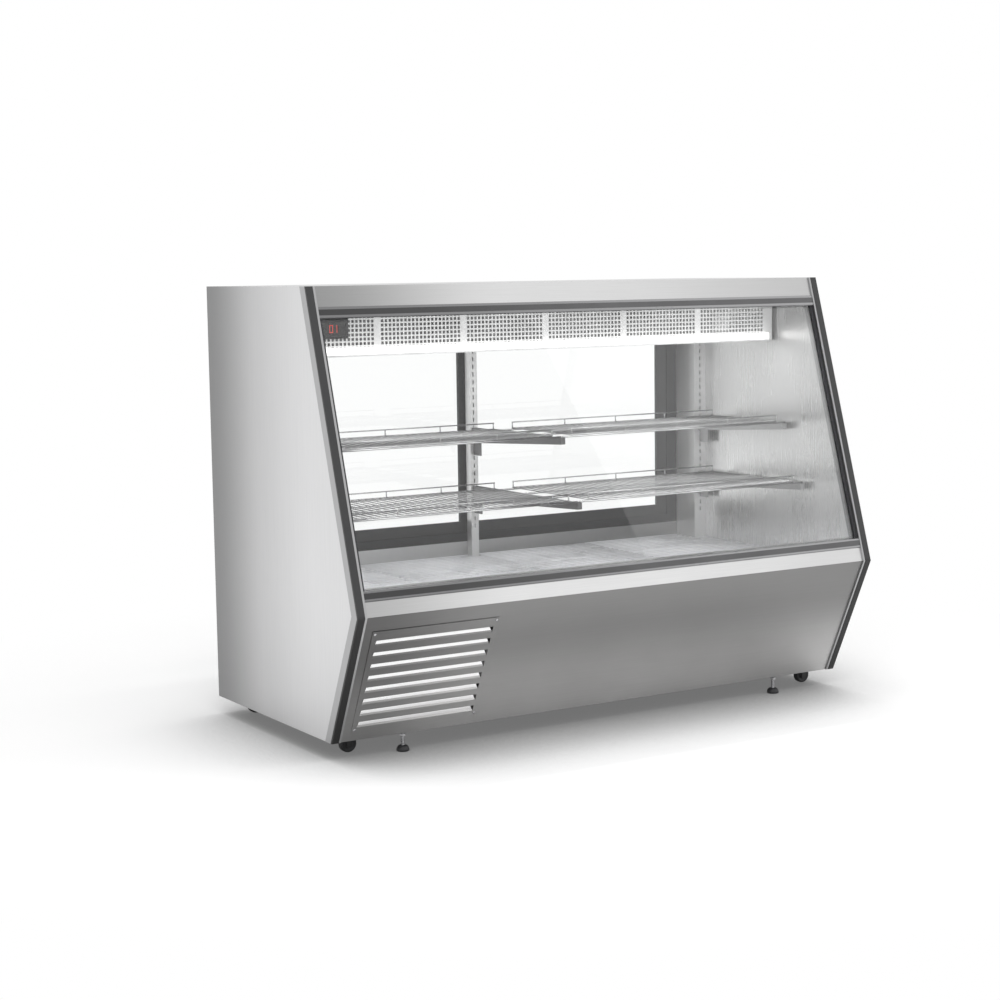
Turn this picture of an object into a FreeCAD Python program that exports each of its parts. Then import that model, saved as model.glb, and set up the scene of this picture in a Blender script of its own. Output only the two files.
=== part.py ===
import FreeCAD, Part
import math
import os
import Sketcher

# Refrigerated deli display case on castors: slanted glass front, wire shelves, sliding rear doors.
# Millimetres. X runs along the counter, Y from the customer's side to the back, Z up.
# The origin is on the floor, under the middle of the case.

os.makedirs("parts", exist_ok=True)
doc = FreeCAD.newDocument("deli_case")
sheet = doc.addObject("Spreadsheet::Sheet", "Sizes")
nodes = []


# ---------------------------------------------------------------------------------------------
# Driving values: each one is a cell of the sheet, and arithmetic on it keeps its expression
# ---------------------------------------------------------------------------------------------

class Size:
    """A length that carries both its number and the sheet expression that gives it."""

    def __init__(self, value, text):
        self.value = value
        self.text = text

    def __add__(self, other):
        other = as_size(other)
        return Size(self.value + other.value, "(" + self.text + " + " + other.text + ")")

    def __sub__(self, other):
        other = as_size(other)
        return Size(self.value - other.value, "(" + self.text + " - " + other.text + ")")

    def __mul__(self, other):
        other = as_size(other)
        return Size(self.value * other.value, "(" + self.text + " * " + other.text + ")")

    def __truediv__(self, other):
        other = as_size(other)
        return Size(self.value / other.value, "(" + self.text + " / " + other.text + ")")

    def __neg__(self):
        return Size(-self.value, "(0 - " + self.text + ")")


def as_size(number):
    if isinstance(number, Size):
        return number
    return Size(float(number), "(" + repr(float(number)) + ")")


def root(size):
    return Size(math.sqrt(size.value), "sqrt(" + size.text + ")")


def size(name, value):
    row = str(size.rows)
    size.rows += 1
    sheet.set("A" + row, name)
    sheet.set("B" + row, str(value))
    sheet.setAlias("B" + row, name)
    return Size(float(value), "Sizes." + name)


size.rows = 1


# ---------------------------------------------------------------------------------------------
# Building blocks, all bound to the sheet
# ---------------------------------------------------------------------------------------------

def bind(item, prop, value):
    item.setExpression(prop, as_size(value).text)


def place(item, x, y, z):
    bind(item, "Placement.Base.x", x)
    bind(item, "Placement.Base.y", y)
    bind(item, "Placement.Base.z", z)


def box(label, x, y, z):
    """Block between two values along each axis."""
    item = doc.addObject("Part::Box", label)
    bind(item, "Length", as_size(x[1]) - x[0])
    bind(item, "Width", as_size(y[1]) - y[0])
    bind(item, "Height", as_size(z[1]) - z[0])
    place(item, x[0], y[0], z[0])
    return item


TURNS = {
    "x": FreeCAD.Rotation(FreeCAD.Vector(0, 1, 0), 90),
    "y": FreeCAD.Rotation(FreeCAD.Vector(1, 0, 0), -90),
    "z": FreeCAD.Rotation(),
}


def rod(label, axis, start, radius, length):
    """Cylinder that begins at a point and runs along one axis."""
    item = doc.addObject("Part::Cylinder", label)
    item.Placement = FreeCAD.Placement(FreeCAD.Vector(), TURNS[axis])
    bind(item, "Radius", radius)
    bind(item, "Height", length)
    place(item, start[0], start[1], start[2])
    return item


def taper(label, start, radius_low, radius_high, length):
    item = doc.addObject("Part::Cone", label)
    bind(item, "Radius1", radius_low)
    bind(item, "Radius2", radius_high)
    bind(item, "Height", length)
    place(item, start[0], start[1], start[2])
    return item


def prism(label, plane, points, start, length):
    """Closed outline on an origin plane, padded square to it.

    On YZ_Plane the points are (y, z) and the pad runs to +X from start.
    On XZ_Plane the points are (x, z) and the pad runs to -Y from start.
    """
    body = doc.addObject("PartDesign::Body", label)
    support = [item for item in body.Origin.OriginFeatures if item.Role == plane][0]
    sketch = body.newObject("Sketcher::SketchObject", label + "_outline")
    sketch.AttachmentSupport = [(support, "")]
    sketch.MapMode = "FlatFace"
    points = [(as_size(u), as_size(v)) for u, v in points]
    count = len(points)
    for index in range(count):
        u, v = points[index]
        u_next, v_next = points[(index + 1) % count]
        begin = FreeCAD.Vector(u.value, v.value, 0)
        end = FreeCAD.Vector(u_next.value, v_next.value, 0)
        sketch.addGeometry(Part.LineSegment(begin, end), False)
    for index in range(count):
        sketch.addConstraint(Sketcher.Constraint("Coincident", index, 2, (index + 1) % count, 1))
    for index in range(count):
        for kind, coordinate in (("DistanceX", points[index][0]), ("DistanceY", points[index][1])):
            rule = Sketcher.Constraint(kind, -1, 1, index, 1, coordinate.value)
            number = sketch.addConstraint(rule)
            sketch.setExpression("Constraints[%d]" % number, coordinate.text)
    pad = body.newObject("PartDesign::Pad", label + "_pad")
    pad.Profile = sketch
    bind(pad, "Length", length)
    sketch.Visibility = False
    bind(body, "Placement.Base.x" if plane == "YZ_Plane" else "Placement.Base.y", start)
    return body


def fuse(label, items):
    item = doc.addObject("Part::MultiFuse", label)
    item.Shapes = items
    item.Refine = True
    return item


def group(label, items):
    item = doc.addObject("Part::Compound", label)
    item.Links = items
    return item


def cut(label, base, tools):
    item = doc.addObject("Part::Cut", label)
    item.Base = base
    item.Tool = tools[0] if len(tools) == 1 else group(label + "_tools", tools)
    return item


def node(item, label):
    """Marks a finished piece: its label is the name of its file."""
    item.Label = label
    nodes.append(item)
    return item


# ---------------------------------------------------------------------------------------------
# Overall sizes
# ---------------------------------------------------------------------------------------------

length = size("overall_length", 1830)
depth = size("overall_depth", 960)
height = size("overall_height", 1327)
nose_z = size("nose_height", 433)
skirt_z = size("skirt_height", 55)
top_set = size("top_setback", 272)
foot_set = size("foot_setback", 177)
sheet_t = size("sheet_thick", 2)
seat = size("running_clearance", 0.05)

half = length / 2
front = -(depth / 2)
back = depth / 2

# Offsets square to the sloping front, measured inwards from its outer face
bumper_thick = size("bumper_thick", 8)
lip_set = size("lip_offset", 1)
web_set = size("trim_web_offset", 10)
leg_set = size("trim_leg_offset", 38)
skin_set = size("skin_offset", 6)
skin_in = skin_set + sheet_t
trim_w = size("trim_width", 28.5)
trim_t = size("trim_leg_thick", 1.5)
bumper_w = size("bumper_width", 21.5)

slope_up = top_set / (height - nose_z)
slope_low = foot_set / (nose_z - skirt_z)
stretch_up = root(slope_up * slope_up + 1)
stretch_low = root(slope_low * slope_low + 1)


def upper_y(z, offset):
    """Y of the leaning glass face at one height, set in by an offset square to it."""
    return front + slope_up * (as_size(z) - nose_z) + stretch_up * offset


def lower_y(z, offset):
    """Y of the face under the nose at one height, set in by an offset square to it."""
    return front + slope_low * (nose_z - z) + stretch_low * offset


def nose(offset):
    """Point where the two front faces meet, both set in by the same offset."""
    z = nose_z + (stretch_low - stretch_up) * offset / (slope_up + slope_low)
    return (upper_y(z, offset), z)


def front_band(outer, inner, low, high):
    """Outline of a strip that follows the whole front between two offsets."""
    return [
        (upper_y(high, outer), high), nose(outer), (lower_y(low, outer), low),
        (lower_y(low, inner), low), nose(inner), (upper_y(high, inner), high),
    ]


def lean(low, high, outer, inner):
    """Outline of a straight strip that lies in the leaning glass face."""
    return [
        (upper_y(high, outer), high), (upper_y(low, outer), low),
        (upper_y(low, inner), low), (upper_y(high, inner), high),
    ]


# ---------------------------------------------------------------------------------------------
# End panels with their edge trims and rubber bumpers
# ---------------------------------------------------------------------------------------------

panel_t = trim_w - trim_t
inner_x = half - trim_w
over = size("cut_overrun", 2)

for side, sign in (("left", -1), ("right", 1)):
    panel_x = -half + trim_t if sign < 0 else inner_x
    panel = prism("end_panel_" + side + "_body", "YZ_Plane", [
        (upper_y(height, web_set), height), nose(web_set), (lower_y(skirt_z, web_set), skirt_z),
        (back, skirt_z), (back, height),
    ], panel_x, panel_t)
    node(panel, "end_panel_" + side)

    trim_x = -half if sign < 0 else half - trim_w
    shell = prism("trim_shell_" + side, "YZ_Plane",
                  front_band(lip_set, leg_set, skirt_z, height), trim_x, trim_w)
    core_x = panel_x if sign < 0 else panel_x - over
    core = prism("trim_core_" + side, "YZ_Plane",
                 front_band(web_set, leg_set + over, skirt_z - over, height + over),
                 core_x, panel_t + over)
    pocket_x = -half - over if sign < 0 else half - bumper_w
    pocket = prism("bumper_pocket_" + side, "YZ_Plane",
                   front_band(-over, bumper_thick, skirt_z - over, height + over),
                   pocket_x, bumper_w + over)
    node(cut("edge_trim_" + side + "_cut", shell, [core, pocket]), "edge_trim_" + side)

    bumper_x = -half if sign < 0 else half - bumper_w
    node(prism("bumper_" + side, "YZ_Plane",
               front_band(0, bumper_thick, skirt_z, height), bumper_x, bumper_w),
         "bumper_strip_" + side)

# ---------------------------------------------------------------------------------------------
# Top, canopy, glass rails, front glass and the side seals it closes against
# ---------------------------------------------------------------------------------------------

top_t = size("top_thick", 30)
canopy_low = size("canopy_low_edge", 1269)
rail_depth = size("rail_depth", 44)
rail_face = size("rail_face_offset", 3)
rail_top_low = size("top_rail_low_edge", 1237)
rail_low_low = size("low_rail_low_edge", 474.5)
rail_low_high = size("low_rail_high_edge", 503)
rail_shadow = size("low_rail_shadow_gap", 2.5)
insert_w = size("insert_height", 16)
insert_t = size("insert_thick", 4)
insert_top_z = size("top_insert_low_edge", 1246.5)
insert_low_z = size("low_insert_low_edge", 482)
glass_t = size("front_glass_thick", 8)
glass_set = size("front_glass_offset", 14)
glass_bite = size("glass_bite", 9)
seal_t = size("side_seal_thick", 5.5)
seal_lip = size("side_seal_lip", 3.5)
seal_in = size("side_seal_inner_offset", 24)
channel_in = size("side_channel_inner_offset", 46)

span = inner_x * 2
under_top = height - top_t

node(prism("top_body", "YZ_Plane", [
    (upper_y(height, skin_in), height), (upper_y(under_top, skin_in), under_top),
    (back, under_top), (back, height),
], -inner_x, span), "top_panel")

node(prism("canopy_body", "YZ_Plane", [
    (upper_y(height, skin_set), height), (upper_y(canopy_low, skin_set), canopy_low),
    (upper_y(canopy_low, rail_depth), canopy_low),
    (upper_y(under_top, rail_depth), under_top),
    (upper_y(under_top, rail_depth) - sheet_t, under_top),
    (upper_y(canopy_low + sheet_t, rail_depth) - sheet_t, canopy_low + sheet_t),
    (upper_y(canopy_low + sheet_t, skin_in), canopy_low + sheet_t),
    (upper_y(height, skin_in), height),
], -inner_x, span), "canopy_fascia")

inserts = []
rails = []
glass_low = rail_low_high - glass_bite
glass_high = rail_top_low + glass_bite
for label, low, high, insert_z, slot in (
        ("top", rail_top_low, canopy_low, insert_top_z, (rail_top_low - over, glass_high)),
        ("bottom", rail_low_low, rail_low_high, insert_low_z, (glass_low, rail_low_high + over))):
    bar = prism("rail_bar_" + label, "YZ_Plane", lean(low, high, rail_face, rail_depth),
                -inner_x, span)
    groove = prism("rail_groove_" + label, "YZ_Plane",
                   lean(insert_z, insert_z + insert_w, rail_face - over, rail_face + insert_t),
                   -inner_x - over, span + over * 2)
    glass_slot = prism("rail_slot_" + label, "YZ_Plane",
                       lean(slot[0], slot[1], glass_set, glass_set + glass_t),
                       -inner_x - over, span + over * 2)
    shadow = prism("rail_shadow_" + label, "YZ_Plane",
                   lean(low - over, low + rail_shadow, rail_face - over, skin_in),
                   -inner_x - over, span + over * 2)
    rails.append(cut("rail_cut_" + label, bar, [groove, glass_slot, shadow]))
    inserts.append(prism("insert_" + label, "YZ_Plane",
                         lean(insert_z, insert_z + insert_w, rail_face, rail_face + insert_t),
                         -inner_x, span))
node(group("rails", rails), "glass_rails")
node(group("inserts", inserts), "rail_inserts")

node(prism("glass_body", "YZ_Plane", lean(glass_low, glass_high, glass_set, glass_set + glass_t),
           -inner_x + seal_t, span - seal_t * 2), "front_glass")

seals = []
channels = []
for label, x, seal_x, groove_x in (
        ("left", -inner_x, -inner_x, -inner_x + seal_t),
        ("right", inner_x - seal_t, inner_x - seal_t - seal_lip, inner_x - seal_t - seal_lip - over)):
    strip = prism("seal_strip_" + label, "YZ_Plane",
                  lean(rail_low_high, rail_top_low, web_set, seal_in), seal_x, seal_t + seal_lip)
    groove = prism("seal_groove_" + label, "YZ_Plane",
                   lean(rail_low_high - over, rail_top_low + over, glass_set, glass_set + glass_t),
                   groove_x, seal_lip + over)
    seals.append(cut("seal_" + label, strip, [groove]))
    channels.append(prism("channel_" + label, "YZ_Plane",
                          lean(rail_low_high, rail_top_low, seal_in, channel_in), x, seal_t))
node(group("channels", channels), "side_channels")
node(group("seals", seals), "side_seals")

# ---------------------------------------------------------------------------------------------
# Sill above the nose and the panel below it, with the removable louvre
# ---------------------------------------------------------------------------------------------

sill_flange = rail_low_low - sheet_t
node(prism("sill_body", "YZ_Plane", [
    (upper_y(rail_low_low, skin_set), rail_low_low), nose(skin_set), nose(skin_in),
    (upper_y(sill_flange, skin_in), sill_flange),
    (upper_y(sill_flange, rail_depth), sill_flange),
    (upper_y(rail_low_low, rail_depth), rail_low_low),
], -inner_x, span), "front_sill")

louvre_x = (size("louvre_left", -858), size("louvre_right", -452))
louvre_z = (size("louvre_low", 81), size("louvre_high", 389))
louvre_rim = size("louvre_rim", 12)
slot_pitch = size("louvre_pitch", 35.5)
slot_high = size("louvre_slot_height", 16.5)
slot_first = size("louvre_first_slot", 96.5)
slot_count = 8
blade_t = size("louvre_blade_thick", 1.2)
blade_rise = size("louvre_blade_rise", 15.5)
blade_taper = size("louvre_blade_taper", 7)
plate_set = skin_set - sheet_t

skirt = prism("skirt_body", "YZ_Plane", [
    nose(skin_set), (lower_y(skirt_z, skin_set), skirt_z),
    (lower_y(skirt_z, skin_in), skirt_z), nose(skin_in),
], -inner_x, span)
vent = box("skirt_vent", (louvre_x[0] + louvre_rim, louvre_x[1] - louvre_rim),
           (front, lower_y(skirt_z, skin_in) + over),
           (louvre_z[0] + louvre_rim, louvre_z[1] - louvre_rim))

screw_r = size("louvre_screw_radius", 2)
head_r = size("louvre_head_radius", 4.5)
head_t = size("louvre_head_thick", 2.5)
screw_inset = size("louvre_screw_inset", 8)
screw_turn = FreeCAD.Rotation(FreeCAD.Vector(1, 0, 0),
                              math.degrees(math.atan(slope_low.value)) - 90)


def louvre_screw(label, x, z, offset, radius, deep):
    """Cylinder square to the lower face, starting at an offset and running inwards."""
    start = (x, lower_y(z, 0) + as_size(offset) / stretch_low,
             z + slope_low * offset / stretch_low)
    item = rod(label, "z", start, radius, deep)
    item.Placement = FreeCAD.Placement(FreeCAD.Vector(), screw_turn)
    return item


screws = []
screw_holes = []
for corner_x in (louvre_x[0] + screw_inset, louvre_x[1] - screw_inset):
    for corner_z in (louvre_z[0] + screw_inset, louvre_z[1] - screw_inset):
        tag = "_%d" % len(screws)
        head = louvre_screw("screw_head" + tag, corner_x, corner_z, plate_set - head_t, head_r, head_t)
        shank = louvre_screw("screw_shank" + tag, corner_x, corner_z, plate_set, screw_r,
                             sheet_t * 2 + head_t)
        screws.append(fuse("screw" + tag, [head, shank]))
        screw_holes.append(louvre_screw("screw_hole" + tag, corner_x, corner_z, plate_set - over,
                                        screw_r + seat, sheet_t * 2 + head_t * 2))
node(cut("skirt_cut", skirt, [vent] + screw_holes), "lower_front_panel")
node(group("louvre_screw_set", screws), "louvre_screws")

louvre_plate = prism("louvre_plate", "YZ_Plane", [
    (lower_y(louvre_z[1], plate_set), louvre_z[1]), (lower_y(louvre_z[0], plate_set), louvre_z[0]),
    (lower_y(louvre_z[0], skin_set), louvre_z[0]), (lower_y(louvre_z[1], skin_set), louvre_z[1]),
], louvre_x[0], louvre_x[1] - louvre_x[0])
slot_x = (louvre_x[0] + louvre_rim + over, louvre_x[1] - louvre_rim - over)
slots = []
blades = []
for index in range(slot_count):
    low = slot_first + slot_pitch * index
    slots.append(box("louvre_slot_%d" % index, slot_x, (front, lower_y(low, skin_in + over)),
                     (low, low + slot_high)))
    blades.append(prism("louvre_blade_%d" % index, "XZ_Plane", [
        (slot_x[0], low - blade_t), (slot_x[1], low - blade_t),
        (slot_x[1] - blade_taper, low + blade_rise), (slot_x[0] + blade_taper, low + blade_rise),
    ], lower_y(low, plate_set) + blade_t * 2, blade_t))
slotted = cut("louvre_slotted", louvre_plate, slots + screw_holes)
node(fuse("louvre_body", [slotted] + blades), "louvre_panel")

# ---------------------------------------------------------------------------------------------
# Insulated well and the wire deck racks that stand in it
# ---------------------------------------------------------------------------------------------

# The two copper lines rise through the well floor inside the left post and leave near the roof
pipe_r = size("pipe_radius", 5)
pipe_play = size("pipe_hole_play", 1)
riser_x = size("pipe_riser_x", -863)
riser_y = size("pipe_riser_y", 400)
pipe_step = size("pipe_spacing", 24)
pipe_low_z = size("pipe_low_z", 180)
pipe_high_z = size("pipe_high_z", 1275)
lanes = [(riser_x, riser_y, pipe_low_z, pipe_high_z),
         (riser_x, riser_y - pipe_step, pipe_low_z + pipe_step, pipe_high_z - pipe_step)]

well_low = size("well_underside", 345)
well_floor = size("well_floor", 402)
well_step = size("well_front_step_z", 391)
well_step_in = size("well_front_step_in", 10)
well_wall_y = size("well_rear_wall_y", 446)
well_back = back - sheet_t
rear_sill_z = size("rear_sill_height", 472)
well_front_y = upper_y(sill_flange, rail_depth)

well = prism("well_body", "YZ_Plane", [
    (upper_y(sill_flange, skin_in), sill_flange), nose(skin_in),
    (lower_y(well_step, skin_in), well_step),
    (well_front_y + well_step_in, well_step), (well_front_y + well_step_in, well_low),
    (well_back, well_low), (well_back, rear_sill_z), (well_wall_y, rear_sill_z),
    (well_wall_y, well_floor), (well_front_y, well_floor), (well_front_y, sill_flange),
], -inner_x, span)
well_holes = [rod("well_hole_%d" % number, "z", (lane[0], lane[1], well_low - over),
                  pipe_r + pipe_play, well_floor - well_low + over * 2)
              for number, lane in enumerate(lanes)]
node(cut("well_cut", well, well_holes), "well")

post_face = size("centre_post_face_y", 417)
post_w = size("centre_post_width", 27)
centre_x = size("centre_post_x", -11)
corner_face = size("corner_post_face_y", 342)
corner_x = size("corner_post_inner_x", 838)

rack_wire = size("rack_wire", 4)
rack_top = size("rack_top", 428)
rack_gap = size("rack_gap", 3)
rack_margin = size("rack_margin", 4)
rack_count = 4
rack_rows = 31
rack_bars = 5
rack_seam_row = 20
rack_leg_rows = (3, 15, 23)


def wire(x, y, z):
    """Square wire between two values along each axis."""
    corner = FreeCAD.Vector(x[0], y[0], z[0])
    return Part.makeBox(x[1] - x[0], y[1] - y[0], z[1] - z[0], corner)


def welded(label, pieces, trims):
    """One welded wire piece, sized from the sheet, with clear notches cut from it."""
    shape = pieces[0].fuse(pieces[1:])
    if trims:
        shape = shape.cut(trims)
    item = doc.addObject("Part::Feature", label)
    item.Shape = shape.removeSplitter()
    return item


rack_w = (span.value - 2 * rack_margin.value - (rack_count - 1) * rack_gap.value) / rack_count
rack_y = (well_front_y.value + rack_margin.value, well_wall_y.value - rack_margin.value)
wire_t = rack_wire.value
for index in range(rack_count):
    x0 = -inner_x.value + rack_margin.value + index * (rack_w + rack_gap.value)
    x1 = x0 + rack_w
    top = rack_top.value
    low = top - wire_t
    pieces = []
    pitch = (rack_y[1] - rack_y[0] - wire_t) / (rack_rows - 1)
    for row in range(rack_rows):
        y0 = rack_y[0] + row * pitch
        pieces.append(wire((x0, x1), (y0, y0 + wire_t), (low, top)))
        if row == rack_seam_row:
            pieces.append(wire((x0, x1), (y0 + 2 * wire_t, y0 + 3 * wire_t), (low, top)))
    step = (x1 - x0 - wire_t) / (rack_bars - 1)
    for bar_index in range(rack_bars):
        xb = x0 + bar_index * step
        pieces.append(wire((xb, xb + wire_t), rack_y, (low - wire_t, low)))
        for leg_row in rack_leg_rows:
            leg_y = rack_y[0] + leg_row * pitch
            pieces.append(wire((xb, xb + wire_t), (leg_y, leg_y + wire_t),
                               (well_floor.value, low - wire_t)))
    gap = rack_gap.value
    notches = [wire((centre_x.value - post_w.value / 2 - gap, centre_x.value + post_w.value / 2 + gap),
                    (post_face.value - gap, well_wall_y.value), (well_floor.value, top + gap))]
    for notch_x in ((-inner_x.value, -corner_x.value + gap), (corner_x.value - gap, inner_x.value)):
        notches.append(wire(notch_x, (corner_face.value - gap, well_wall_y.value),
                            (well_floor.value, top + gap)))
    node(welded("rack_%d" % (index + 1), pieces, notches), "deck_rack_%d" % (index + 1))

# ---------------------------------------------------------------------------------------------
# Rear door frame with two tracks, and the two sliding doors
# ---------------------------------------------------------------------------------------------

frame_y = well_wall_y
opening_x = size("door_opening_half", 795)
opening_z = (size("door_opening_low", 500), size("door_opening_high", 1235))
door_t = size("door_thick", 13)
track_in = size("inner_track_y", 448.5)
track_out = size("outer_track_y", 464)
track_play = size("track_play", 0.25)
groove_low = size("track_groove_low", 494)
groove_high = size("track_groove_high", 1245)
door_high = size("door_top", 1241)

grooves = []
for label, y in (("inner", track_in), ("outer", track_out)):
    for place_name, z in (("low", (groove_low, opening_z[0] + over)),
                          ("high", (opening_z[1] - over, groove_high))):
        grooves.append(box("track_" + label + "_" + place_name, (-opening_x, opening_x),
                           (y - track_play, y + door_t + track_play), z))
frame_block = box("frame_block", (-inner_x, inner_x), (frame_y, back), (rear_sill_z, under_top))
frame_hole = box("frame_hole", (-opening_x, opening_x), (frame_y - over, back + over), opening_z)
node(cut("frame_cut", frame_block, [fuse("frame_space", [frame_hole] + grooves)]), "rear_frame")

stile = size("door_stile", 42)
meeting_stile = size("door_meeting_stile", 50)
bottom_rail = size("door_bottom_rail", 42)
pane_t = size("door_glass_thick", 5)
pane_bite = size("door_glass_bite", 8)
pull_w = size("pull_width", 24)
pull_h = size("pull_height", 180)
pull_deep = size("pull_depth", 7)
pull_z = size("pull_low_edge", 800)
left_end = size("left_door_right_edge", 10)
right_end = size("right_door_left_edge", -20)

for side, x, y, stiles in (
        ("left", (-opening_x, left_end), track_out, (stile, meeting_stile)),
        ("right", (right_end, opening_x), track_in, (stile, stile))):
    block = box("door_block_" + side, x, (y, y + door_t), (groove_low, door_high))
    window_x = (x[0] + stiles[0], x[1] - stiles[1])
    window_z = (groove_low + bottom_rail, door_high - stile)
    window = box("door_window_" + side, window_x, (y - over, y + door_t + over), window_z)
    pane_y = y + (door_t - pane_t) / 2
    pane_x = (window_x[0] - pane_bite, window_x[1] + pane_bite)
    pane_z = (window_z[0] - pane_bite, window_z[1] + pane_bite)
    rebate = box("door_rebate_" + side, pane_x, (pane_y, pane_y + pane_t), pane_z)
    edge = x[0] + (stile - pull_w) / 2 if side == "left" else x[1] - (stile + pull_w) / 2
    pull = box("door_pull_" + side, (edge, edge + pull_w),
               (y + door_t - pull_deep, y + door_t + over), (pull_z, pull_z + pull_h))
    node(cut("door_cut_" + side, block, [fuse("door_space_" + side, [window, rebate]), pull]),
         "door_" + side + "_frame")
    node(box("door_pane_" + side, pane_x, (pane_y, pane_y + pane_t), pane_z),
         "door_" + side + "_glass")

# ---------------------------------------------------------------------------------------------
# Slotted posts, shelf brackets and wire shelves
# ---------------------------------------------------------------------------------------------

slot_w = size("post_slot_width", 4)
slot_h = size("post_slot_height", 14)
slot_step = size("post_slot_pitch", 25)
slot_z = size("post_first_slot", 525)
post_slots = 30
arm_x = (corner_x + inner_x) / 2


def slot_row(label, x, y):
    """Column of upright slots through the front wall of a post."""
    middles = [slot_z + slot_step * index for index in range(post_slots)]
    return [box(label + "_slot_%d" % index, (x - slot_w / 2, x + slot_w / 2),
                (y - over, y + sheet_t + over), (middle - slot_h / 2, middle + slot_h / 2))
            for index, middle in enumerate(middles)]


centre = box("centre_block", (centre_x - post_w / 2, centre_x + post_w / 2), (post_face, frame_y),
             (well_floor, under_top))
centre_in = box("centre_core", (centre_x - post_w / 2 + sheet_t, centre_x + post_w / 2 - sheet_t),
                (post_face + sheet_t, frame_y - sheet_t), (well_floor - over, under_top + over))
centre_space = fuse("centre_space", [centre_in] + slot_row("centre", centre_x, post_face))
node(cut("centre_cut", centre, [centre_space]), "centre_post")

corner_posts = []
for label, sign in (("left", -1), ("right", 1)):
    outer = (corner_x * sign, inner_x * sign) if sign > 0 else (-inner_x, -corner_x)
    core = (corner_x + sheet_t, inner_x + over) if sign > 0 else (-inner_x - over, -corner_x - sheet_t)
    block = box("corner_block_" + label, outer, (corner_face, frame_y), (well_floor, under_top))
    inside = box("corner_core_" + label, core, (corner_face + sheet_t, frame_y + over),
                 (well_floor - over, under_top + over))
    holes = slot_row("corner_" + label, arm_x * sign, corner_face)
    if label == "left":
        holes += [rod("pipe_exit_%d" % number, "x", (-corner_x - sheet_t - over, lane[1], lane[3]),
                      pipe_r + pipe_play, sheet_t + over * 2) for number, lane in enumerate(lanes)]
    corner_posts.append(cut("corner_cut_" + label, block,
                            [fuse("corner_space_" + label, [inside] + holes)]))
node(group("corner_post_pair", corner_posts), "corner_posts")

arm_w = size("arm_width", 16)
arm_wall = size("arm_wall", 2)
arm_root = size("arm_root_height", 50)
arm_nose = size("arm_tip_height", 20)
hook_deep = size("hook_plate_depth", 46)
hook_drop = size("hook_plate_drop", 90)
hook_t = size("hook_thick", 3)
hook_in = size("hook_reach", 6)
shelf_z = {"upper": size("upper_arm_top", 850), "lower": size("lower_arm_top", 658)}
arm_tip = {"upper": size("upper_arm_tip_y", -116), "lower": size("lower_arm_tip_y", -205)}
hook_slots = {"upper": (10, 12), "lower": (2, 4)}

brackets = []
for tier in ("upper", "lower"):
    for spot, x, root_y in (("left", -arm_x, corner_face), ("centre", centre_x, post_face),
                            ("right", arm_x, corner_face)):
        tag = tier + "_" + spot
        top_z = shelf_z[tier]
        tip_y = arm_tip[tier]
        outline = [(root_y, top_z), (root_y, top_z - arm_root),
                   (tip_y, top_z - arm_nose), (tip_y, top_z)]
        hollow = [(root_y + over, top_z + over), (root_y + over, top_z - arm_root + arm_wall),
                  (tip_y + arm_wall, top_z - arm_nose + arm_wall), (tip_y + arm_wall, top_z + over)]
        arm = cut("arm_" + tag, prism("arm_outer_" + tag, "YZ_Plane", outline, x - arm_w / 2, arm_w),
                  [prism("arm_inner_" + tag, "YZ_Plane", hollow, x - arm_w / 2 + arm_wall,
                         arm_w - arm_wall * 2)])
        plate = box("hook_plate_" + tag, (x - hook_t / 2, x + hook_t / 2), (root_y - hook_deep, root_y),
                    (top_z - hook_drop, top_z - arm_nose))
        parts = [arm, plate]
        for number in hook_slots[tier]:
            tab_z = slot_z + slot_step * number
            parts.append(box("hook_%s_%d" % (tag, number), (x - hook_t / 2, x + hook_t / 2),
                             (root_y - hook_t, root_y + hook_in),
                             (tab_z - slot_h / 2, tab_z + slot_h / 2 - over)))
        brackets.append(fuse("bracket_" + tag, parts))
node(group("bracket_set", brackets), "shelf_brackets")

shelf_bar = size("shelf_bar", 6)
shelf_wire = size("shelf_wire", 4)
shelf_gap = size("shelf_centre_gap", 3)
shelf_grid_in = size("shelf_grid_inner_x", 34)
shelf_grid_out = size("shelf_grid_outer_x", 834)
guard_rise = size("guard_rise", 23)
shelf_rear_y = size("shelf_rear_y", 236)
shelf_set = size("shelf_front_setback", 5)
shelf_bars = 4
shelf_wires = 33
guard_ticks = 4

for tier in ("upper", "lower"):
    for side, sign in (("left", -1), ("right", 1)):
        base = shelf_z[tier].value
        bar_t = shelf_bar.value
        wire_d = shelf_wire.value
        y0 = arm_tip[tier].value + shelf_set.value
        y1 = shelf_rear_y.value
        deck_z = base + bar_t
        middle = centre_x.value * sign
        grid = (middle + shelf_grid_in.value, shelf_grid_out.value)
        reach = (middle + shelf_gap.value, arm_x.value + arm_w.value / 2)
        pieces = []

        def span_x(low, high):
            return (low, high) if sign > 0 else (-high, -low)

        for number in range(shelf_bars):
            bar_y = y0 + (y1 - y0 - bar_t) * number / (shelf_bars - 1)
            pieces.append(wire(span_x(reach[0], reach[1]), (bar_y, bar_y + bar_t), (base, deck_z)))
        for number in range(shelf_wires):
            xw = grid[0] + (grid[1] - grid[0] - wire_d) * number / (shelf_wires - 1)
            pieces.append(wire(span_x(xw, xw + wire_d), (y0, y1), (deck_z, deck_z + wire_d)))
        rail_z = deck_z + guard_rise.value
        for guard_y in (y0, y1 - wire_d):
            lane = (guard_y, guard_y + wire_d)
            pieces.append(wire(span_x(grid[0], grid[1]), lane, (rail_z - wire_d, rail_z)))
            pieces.append(wire(span_x(grid[0], grid[1]), lane, (deck_z, deck_z + wire_d)))
            for number in range(guard_ticks + 1):
                xt = grid[0] + (grid[1] - grid[0] - wire_d) * number / guard_ticks
                pieces.append(wire(span_x(xt, xt + wire_d), lane, (deck_z, rail_z)))
        label = "shelf_" + tier + "_" + side
        node(welded(label + "_wires", pieces, []), label)

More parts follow.
